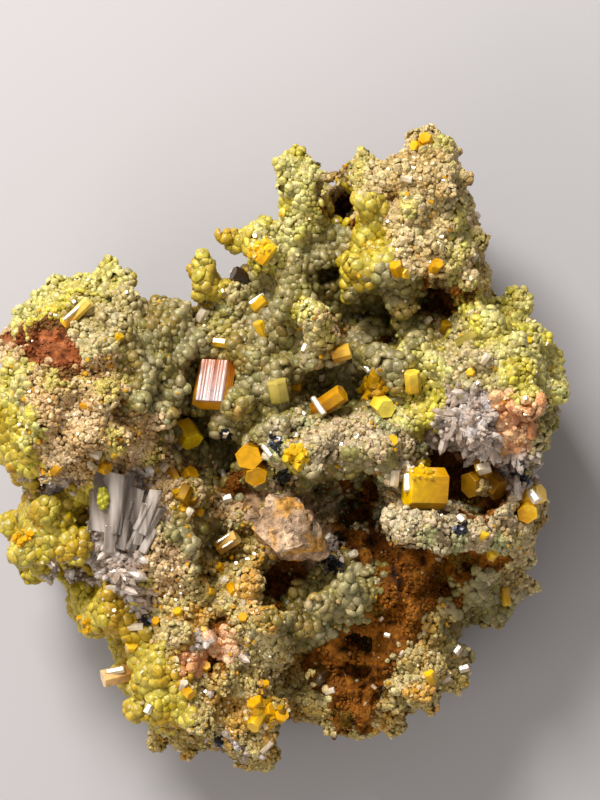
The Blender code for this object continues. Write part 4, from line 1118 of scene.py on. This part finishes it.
# Clear blades
# Clear, striated plates of quartz, 0.4 to 1 mm thick and 3 to 7 mm long, fan up from a knot of small
# crystals. Each is a bundle of laths that grew side by side, with a stepped end.
# For each plate: root (x, y), tip (x, y), width, thickness, and roll about its length in degrees.
PLATES = [
    ((-18.6, -7.9), (-17.6, -0.9), 2.9, 0.55, -10.0), ((-17.2, -7.9), (-15.7, -1.0), 0.8, 0.80, 38.0),
    ((-16.3, -8.4), (-15.0, -2.6), 1.3, 0.50, 12.0), ((-14.7, -8.0), (-12.9, -2.8), 1.1, 0.70, -28.0),
    ((-15.2, -9.0), (-14.1, -4.6), 0.8, 0.50, 30.0), ((-19.5, -7.6), (-19.7, -2.6), 1.0, 0.45, 20.0),
    ((-16.9, -9.6), (-16.4, -6.2), 1.2, 0.60, -35.0), ((-15.9, -9.6), (-14.4, -6.6), 0.9, 0.55, 40.0),
    ((-18.1, -9.9), (-17.9, -6.9), 1.0, 0.55, 25.0), ((-14.6, -9.8), (-13.2, -7.2), 0.7, 0.50, -20.0),
    ((-16.7, -7.6), (-15.6, -4.2), 0.5, 0.90, 52.0), ((-15.2, -7.6), (-13.4, -4.2), 0.5, 0.95, -46.0),
    ((-17.5, -8.8), (-16.7, -5.0), 0.6, 0.90, 60.0), ((-14.1, -7.8), (-12.4, -5.0), 0.6, 0.70, 36.0),
]
PLATE_LIFT = 0.12
LATH_WIDTH = 2.0
LATH_OVERLAP = 1.25
LATH_EDGE = 0.07


def clear_quartz():
    """Clear quartz: glass of IOR 1.55 with milky veils and growth lines."""
    made, tree, shader = new_material("clear quartz with milky veils")
    place = node(tree, "ShaderNodeTexCoord").outputs["Object"]
    # The veils run along the blades, which lie nearly along the frame's Y.
    drawn = node(tree, "ShaderNodeMapping", {"Vector": place, "Scale": (1.0, 0.12, 0.5)})
    veils = node(
        tree, "ShaderNodeTexNoise",
        {"Vector": drawn.outputs["Vector"], "Scale": 0.8 / MM, "Detail": 2.0, "Distortion": 0.3},
    ).outputs["Fac"]
    milk = node(
        tree, "ShaderNodeMapRange",
        {"Value": veils, "From Min": 0.36, "From Max": 0.66, "To Min": 0.80, "To Max": 0.45},
    )
    tree.links.new(milk.outputs["Result"], shader.inputs["Transmission Weight"])
    worn = node(
        tree, "ShaderNodeMapRange",
        {"Value": veils, "From Min": 0.3, "From Max": 0.7, "To Min": 0.03, "To Max": 0.22},
    )
    tree.links.new(worn.outputs["Result"], shader.inputs["Roughness"])
    lines = node(tree, "ShaderNodeTexNoise", {"Vector": place, "Scale": 3.0 / MM, "Detail": 2.0})
    bump = node(
        tree, "ShaderNodeBump", {"Strength": 0.3, "Distance": 0.03 * MM, "Height": lines.outputs["Fac"]},
    )
    tree.links.new(bump.outputs["Normal"], shader.inputs["Normal"])
    tones = node(tree, "ShaderNodeValToRGB", {"Fac": veils})
    for stop, (position, tone) in zip(tones.color_ramp.elements, ((0.32, "#a09084"), (0.68, "#f2e8e0"))):
        stop.position = position
        stop.color = (*linear(tone), 1.0)
    tree.links.new(tones.outputs["Color"], shader.inputs["Base Color"])
    shader.inputs["IOR"].default_value = 1.55
    return made


blade_tree = crystal_trees[crystal_names.index("clear_blades")]
blade_bm = bmesh.new()
for root, tip, plate_width, plate_thickness, roll in PLATES:
    root, tip = Vector((*root, 0.0)), Vector((*tip, 0.0))
    midway = (root + tip) * 0.5
    over = blade_tree.ray_cast(above(*midway.xy), DISPLAY_SIDE)[0]
    height = over.z / MM if over else 22.5
    length = (tip - root).length
    along = ((tip - root) / length + Vector((0.0, 0.0, PLATE_LIFT))).normalized()
    side = Matrix.Rotation(math.radians(roll), 3, along) @ along.cross(Vector((1.0, 0.0, 0.0))).normalized()
    side *= math.copysign(1.0, side.z)
    across = side.cross(along)
    laths = max(1, round(plate_width / LATH_WIDTH))
    for lath in range(laths):
        shift = (lath + 0.5) / laths - 0.5
        lath_length = length * rng.uniform(0.90, 1.02) * (1.0 - 0.25 * abs(shift))
        thick = plate_thickness * rng.uniform(0.86, 1.10)
        middle = midway + Vector((0.0, 0.0, height)) + across * shift * plate_width
        turn = Matrix((across, side, along)).transposed().to_4x4()
        lath_width = plate_width / laths * LATH_OVERLAP
        size = Matrix.Diagonal((lath_width * MM, thick * MM, lath_length * MM, 1.0))
        made = bmesh.ops.create_cube(blade_bm, size=1.0)
        slant = rng.uniform(-0.14, 0.14)
        for vert in made["verts"]:
            if vert.co.z > 0.0:
                vert.co.z += vert.co.x * slant - rng.uniform(0.0, 0.07)
                vert.co.y *= 0.7
        edges = list({e for v in made["verts"] for e in v.link_edges})
        lath_place = Matrix.Translation(middle * MM) @ turn @ size
        bmesh.ops.transform(blade_bm, matrix=lath_place, verts=made["verts"])
        bmesh.ops.bevel(
            blade_bm, geom=edges, offset=LATH_EDGE * MM, segments=1, profile=0.5, affect="EDGES", material=-1,
        )
blade_top = BVHTree.FromBMesh(blade_bm)
sheaf_mesh = mesh_of(blade_bm, "clear_blade_sheaf")
placed("clear_blade_sheaf", sheaf_mesh, clear_quartz(), ["clear_blades"])

# A lime knob sits on the widest plate.
LIME_KNOB = (-18.7, -4.1)
LIME_KNOB_HALF = (0.72, 1.30, 0.70)
LIME_KNOB_LOBES = 0.55
over = blade_top.ray_cast(above(*LIME_KNOB), DISPLAY_SIDE)[0]
knob_bm = bmesh.new()
knob_size = Matrix.Diagonal((*(half * MM for half in LIME_KNOB_HALF), 1.0))
knob_place = Matrix.Translation(over) @ knob_size
bmesh.ops.create_icosphere(knob_bm, subdivisions=5, radius=1.0, matrix=knob_place)
knob_bm.normal_update()
for vert in knob_bm.verts:
    cell = noise.voronoi(vert.co / (LIME_KNOB_LOBES * MM))[0]
    vert.co += vert.normal * (0.20 - cell[0] * 0.45) * MM
knob_mesh = mesh_of(knob_bm, "lime_knob")
knob_mesh.shade_smooth()
tint(knob_mesh, "crystal_tint", np.broadcast_to(linear("#b4b01c"), (len(knob_mesh.vertices), 3)))
placed("lime_knob", knob_mesh, bpy.data.materials["lime botryoidal pyromorphite"])

# Vein quartz
# Milky quartz fills parts of the vein: stubby six-sided crystals with pointed ends, up to 1 mm wide,
# grey where clear and white where mealy, packed in patches.
QUARTZ_COUNT = 1700
QUARTZ_SAMPLES = 120000
QUARTZ_RADIUS = (0.11, 0.50)
# White mealy patches among the quartz, as discs (x, y, reach).
MEALY = [(-20.4, -11.6, 2.4), (-5.0, -31.0, 1.5), (-25.4, -3.2, 2.4), (-23.6, -12.0, 1.4)]
QUARTZ_TIP = 0.7
QUARTZ_FOOT = 6.0
SWEEP_SPACING = 2.6


def quartz_shape():
    """A six-sided prism with a pointed end, one unit in radius."""
    bm = bmesh.new()
    bmesh.ops.create_cone(bm, cap_ends=True, segments=6, radius1=1.0, radius2=0.92, depth=2.0)
    top = [f for f in bm.faces if len(f.verts) == 6 and f.calc_center_median().z > 0.0]
    bmesh.ops.poke(bm, faces=top, offset=QUARTZ_TIP)
    return shape_of(bm)


def milky_quartz():
    """Milky quartz: glass of IOR 1.55, cloudy enough for light to scatter in it."""
    made, tree, shader = new_material("milky vein quartz")
    clouds = {"Scale": 1.8 / MM, "Detail": 5.0}
    shaded = mottled(tree, "crystal_tint", clouds, (0.3, 0.7), (0.6, 1.2))[2]
    tree.links.new(shaded, shader.inputs["Base Color"])
    shader.inputs["Roughness"].default_value = 0.22
    shader.inputs["IOR"].default_value = 1.55
    shader.inputs["Transmission Weight"].default_value = 0.25
    shader.inputs["Subsurface Weight"].default_value = 0.45
    shader.inputs["Subsurface Radius"].default_value = (1.0, 0.95, 0.9)
    shader.inputs["Subsurface Scale"].default_value = 0.4 * MM
    return made


where, facing = surface_samples(rock_skin, QUARTZ_SAMPLES)
shares = ground_shares(where, facing)
quartz_share = shares[:, KINDS.index("quartz")] + 0.25 * shares[:, KINDS.index("peach")]
wanted = quartz_share * (where[:, 2] > QUARTZ_FOOT * MM) * (facing[:, 2] > -0.2)
order = rng.permutation(np.flatnonzero(rng.random(len(where)) < wanted))[:QUARTZ_COUNT]
order = np.array([k for k in order if clear_of_crystals(Vector(where[k]), CRYSTAL_GAP * MM)])
size = rng.uniform(0.0, 1.0, len(order)) ** 2.5 * (QUARTZ_RADIUS[1] - QUARTZ_RADIUS[0]) + QUARTZ_RADIUS[0]
size[shares[order, KINDS.index("peach")] > 0.5] *= 0.5
scale = np.stack([size, size, size * rng.uniform(1.0, 2.4, len(order))], axis=1) * MM
# Neighbours grew nearly parallel, as in massive quartz.
swept = np.array([noise.noise_vector(Vector(p) / (SWEEP_SPACING * MM)) for p in where[order]]) * 1.3
mealy = [1.0 - np.linalg.norm(where[order, :2] / MM - (x, y), axis=1) / reach for x, y, reach in MEALY]
mealy = np.clip(np.max(mealy, axis=0) * 2.0, 0.0, 1.0)[:, None]
scale *= 1.0 - 0.5 * mealy
copies, triangles = repeated(quartz_shape(), where[order], scale, upright(facing[order] * 0.6 + swept, 0.34))
greys = np.array([linear(c) for c in ("#b09a84", "#c8b2a2", "#dac8ba", "#eee4de")])
tone = 0.15 + 0.9 * field(where[order], 1.6) + rng.normal(0.0, 0.18, len(order))
colours = blend(toned(greys, tone), linear("#f4ece6"), mealy)
peachy = shares[order, KINDS.index("peach")][:, None]
colours = blend(colours, linear("#e8b07c"), peachy * 0.8)
colours = np.repeat(colours[:, None, :], copies.shape[1], axis=1)
quartz_mesh = joined_mesh("vein_quartz_crystals", [(copies, triangles, colours, False)])
placed("vein_quartz_crystals", quartz_mesh, milky_quartz())

# Wall-rock fragment
# A broken, angular piece of silicified wall rock is held in the crust: tan with ochre stains, darker
# towards its foot. It is a ball cut by flat planes and then roughened.
FRAGMENT_CENTRE = (0.7, -7.3, 22.4)
FRAGMENT_HALF = (3.4, 4.2, 3.3)
FRAGMENT_TAPER = 0.34
FRAGMENT_CUTS = 16
FRAGMENT_GRAIN = 0.09
# Its own draws, so that its shape stays when those of other pieces change.
fragment_rng = np.random.default_rng(10)
fragment_bm = bmesh.new()
bmesh.ops.create_icosphere(fragment_bm, subdivisions=4, radius=1.25)
for _ in range(FRAGMENT_CUTS):
    way = Vector(fragment_rng.normal(size=3)).normalized()
    bmesh.ops.bisect_plane(
        fragment_bm, geom=fragment_bm.verts[:] + fragment_bm.edges[:] + fragment_bm.faces[:], dist=1e-6,
        plane_co=way * fragment_rng.uniform(0.64, 0.92), plane_no=way, clear_outer=True,
    )
    bmesh.ops.holes_fill(fragment_bm, edges=[e for e in fragment_bm.edges if e.is_boundary])
bmesh.ops.dissolve_limit(fragment_bm, angle_limit=0.05, verts=fragment_bm.verts, edges=fragment_bm.edges)
bmesh.ops.triangulate(fragment_bm, faces=fragment_bm.faces)
for _ in range(5):
    long_edges = [e for e in fragment_bm.edges if e.calc_length() > FRAGMENT_GRAIN]
    bmesh.ops.subdivide_edges(fragment_bm, edges=long_edges, cuts=1)
    bmesh.ops.triangulate(fragment_bm, faces=fragment_bm.faces)
fragment_size = Matrix.Diagonal((*(Vector(FRAGMENT_HALF) * MM), 1.0))
fragment_place = Matrix.Translation(Vector(FRAGMENT_CENTRE) * MM) @ fragment_size
bmesh.ops.transform(fragment_bm, matrix=fragment_place, verts=fragment_bm.verts)
for vert in fragment_bm.verts:
    up = (vert.co.y / MM - FRAGMENT_CENTRE[1]) / FRAGMENT_HALF[1]
    vert.co.x += (vert.co.x - FRAGMENT_CENTRE[0] * MM) * -up * FRAGMENT_TAPER
fragment_bm.normal_update()
for vert in fragment_bm.verts:
    wave = noise.fractal(vert.co / (2.4 * MM), 0.8, 2.1, 4)
    pit = abs(noise.noise(vert.co / (1.3 * MM)))
    chip = abs(noise.noise(vert.co / (0.5 * MM)))
    vert.co += vert.normal * (wave * 0.34 - pit * 0.30 - chip * 0.07) * MM
fragment_mesh = mesh_of(fragment_bm, "wall_rock_fragment")
fragment_points = positions(fragment_mesh)
tans = np.array([linear(c) for c in ("#54443e", "#846c56", "#b69678", "#d4b898")])
rise = fragment_points[:, 2] / MM - FRAGMENT_CENTRE[2]
tone = 0.25 + rise / 5.0 + (field(fragment_points, 1.6) - 0.5) * 1.1
stain = np.clip((field(fragment_points + 0.02, 2.0) - 0.52) * 8.0, 0.0, 0.8)[:, None]
tint(fragment_mesh, "rock_tint", blend(toned(tans, tone), linear("#c8923c"), stain))
rough_stone = bpy.data.materials["broken limonite and vein quartz"]
placed("wall_rock_fragment", fragment_mesh, rough_stone)

# Galena specks
# Steel-grey grains of galena, 0.1 to 0.5 mm, are left in a few spots of the vein. They are cleavage
# cubes of lead sulphide, with a dull tarnish. The spots are discs (x, y, reach).
SPECK_SPOTS = [
    (0.2, -1.9, 1.0), (-0.5, 1.7, 0.6), (5.4, -11.2, 1.1), (6.0, -9.0, 0.7), (-6.0, 2.5, 0.5),
    (25.4, -1.2, 0.9), (-14.4, -17.2, 0.6), (19.0, -7.2, 0.6), (-6.8, -30.6, 0.5), (26.0, -2.6, 0.7),
]
SPECKS_A_SPOT = 80
SPECK_SIZE = (0.14, 0.42)
speck_centres, speck_facing = [], []
for x, y, reach in SPECK_SPOTS:
    for _ in range(SPECKS_A_SPOT):
        at = above(x + rng.normal(0.0, reach * 0.5), y + rng.normal(0.0, reach * 0.5))
        hit, normal, _, _ = crust_top.ray_cast(at, DISPLAY_SIDE)
        if hit:
            speck_centres.append(hit[:])
            speck_facing.append(normal[:])
cube_bm = bmesh.new()
bmesh.ops.create_cube(cube_bm, size=1.0)
cube_shape = shape_of(cube_bm)
count = len(speck_centres)
speck_size = rng.uniform(*SPECK_SIZE, (count, 1)) * rng.uniform(0.7, 1.3, (count, 3)) * MM
speck_turns = upright(np.array(speck_facing), 0.8)
copies, triangles = repeated(cube_shape, np.array(speck_centres), speck_size, speck_turns)
speck_tone = rng.uniform(0.5, 1.4, (count, 1, 1)) * linear("#62646e")[None, None, :]
colours = np.broadcast_to(speck_tone, copies.shape)
speck_mesh = joined_mesh("galena_specks", [(copies, triangles, colours, False)])
steel, tree, shader = new_material("galena with a dull steel tarnish")
place = node(tree, "ShaderNodeTexCoord").outputs["Object"]
tarnish = node(tree, "ShaderNodeTexNoise", {"Vector": place, "Scale": 2.5 / MM, "Detail": 3.0})
colour = node(tree, "ShaderNodeAttribute", attribute_name="crystal_tint").outputs["Color"]
shaded = node(
    tree, "ShaderNodeMix", {0: tarnish.outputs["Fac"], 6: colour, 7: (*linear("#34363e"), 1.0)},
    data_type="RGBA",
)
tree.links.new(shaded.outputs[2], shader.inputs["Base Color"])
shader.inputs["Metallic"].default_value = 0.95
shader.inputs["Roughness"].default_value = 0.28
placed("galena_specks", speck_mesh, steel)

# Floor, light and camera
# A matt, pale grey board lies under the specimen. A soft key lamp shines from the upper left and a
# weaker, wider one fills from the lower left. The camera looks straight down on the display face.
FLOOR_SIZE = 1.2
floor_bm = bmesh.new()
bmesh.ops.create_grid(floor_bm, x_segments=1, y_segments=1, size=FLOOR_SIZE)
floor_mesh = bpy.data.meshes.new("floor")
floor_bm.to_mesh(floor_mesh)
floor_bm.free()
floor = bpy.data.objects.new("floor", floor_mesh)
bpy.context.scene.collection.objects.link(floor)
paint, _, floor_shader = new_material("matt pale grey board")
floor_shader.inputs["Base Color"].default_value = (*linear("#b4b3b9"), 1.0)
floor_shader.inputs["Roughness"].default_value = 0.8
floor_mesh.materials.append(paint)


def softbox(name, direction, distance, size, power, colour):
    """An area light that looks at the specimen's middle from that direction."""
    data = bpy.data.lights.new(name, "AREA")
    data.shape = "SQUARE"
    data.size = size
    data.energy = power
    data.color = colour
    lamp = bpy.data.objects.new(name, data)
    way = Vector(direction).normalized()
    lamp.location = way * distance + Vector((0.0, 0.0, 0.015))
    lamp.rotation_euler = way.to_track_quat("Z", "Y").to_euler()
    bpy.context.scene.collection.objects.link(lamp)


softbox("key", (-0.35, 0.68, 0.65), 0.45, 0.15, 3.0, (1.0, 0.96, 0.90))
softbox("fill", (-0.60, -0.55, 0.60), 0.55, 0.40, 1.1, (1.0, 0.93, 0.84))
# The room beside the lamp is dark, so the crystals mirror the key light alone.
bpy.data.objects["fill"].visible_glossy = False
world = bpy.data.worlds.new("studio")
world.use_nodes = True
world.node_tree.nodes["Background"].inputs["Color"].default_value = (1.0, 0.93, 0.85, 1.0)
world.node_tree.nodes["Background"].inputs["Strength"].default_value = 0.37
bpy.context.scene.world = world
bpy.context.scene.view_settings.view_transform = "Standard"

LENS = 135.0
SENSOR = 36.0
VIEW_HEIGHT = 86.0
VIEW_CENTRE = (2.04, 6.24)
VIEW_PLANE = 17.0
camera_data = bpy.data.cameras.new("camera")
camera_data.lens = LENS
camera_data.sensor_width = SENSOR
camera = bpy.data.objects.new("camera", camera_data)
distance = VIEW_HEIGHT * LENS / SENSOR
camera.location = (VIEW_CENTRE[0] * MM, VIEW_CENTRE[1] * MM, (VIEW_PLANE + distance) * MM)
bpy.context.scene.collection.objects.link(camera)
bpy.context.scene.camera = camera
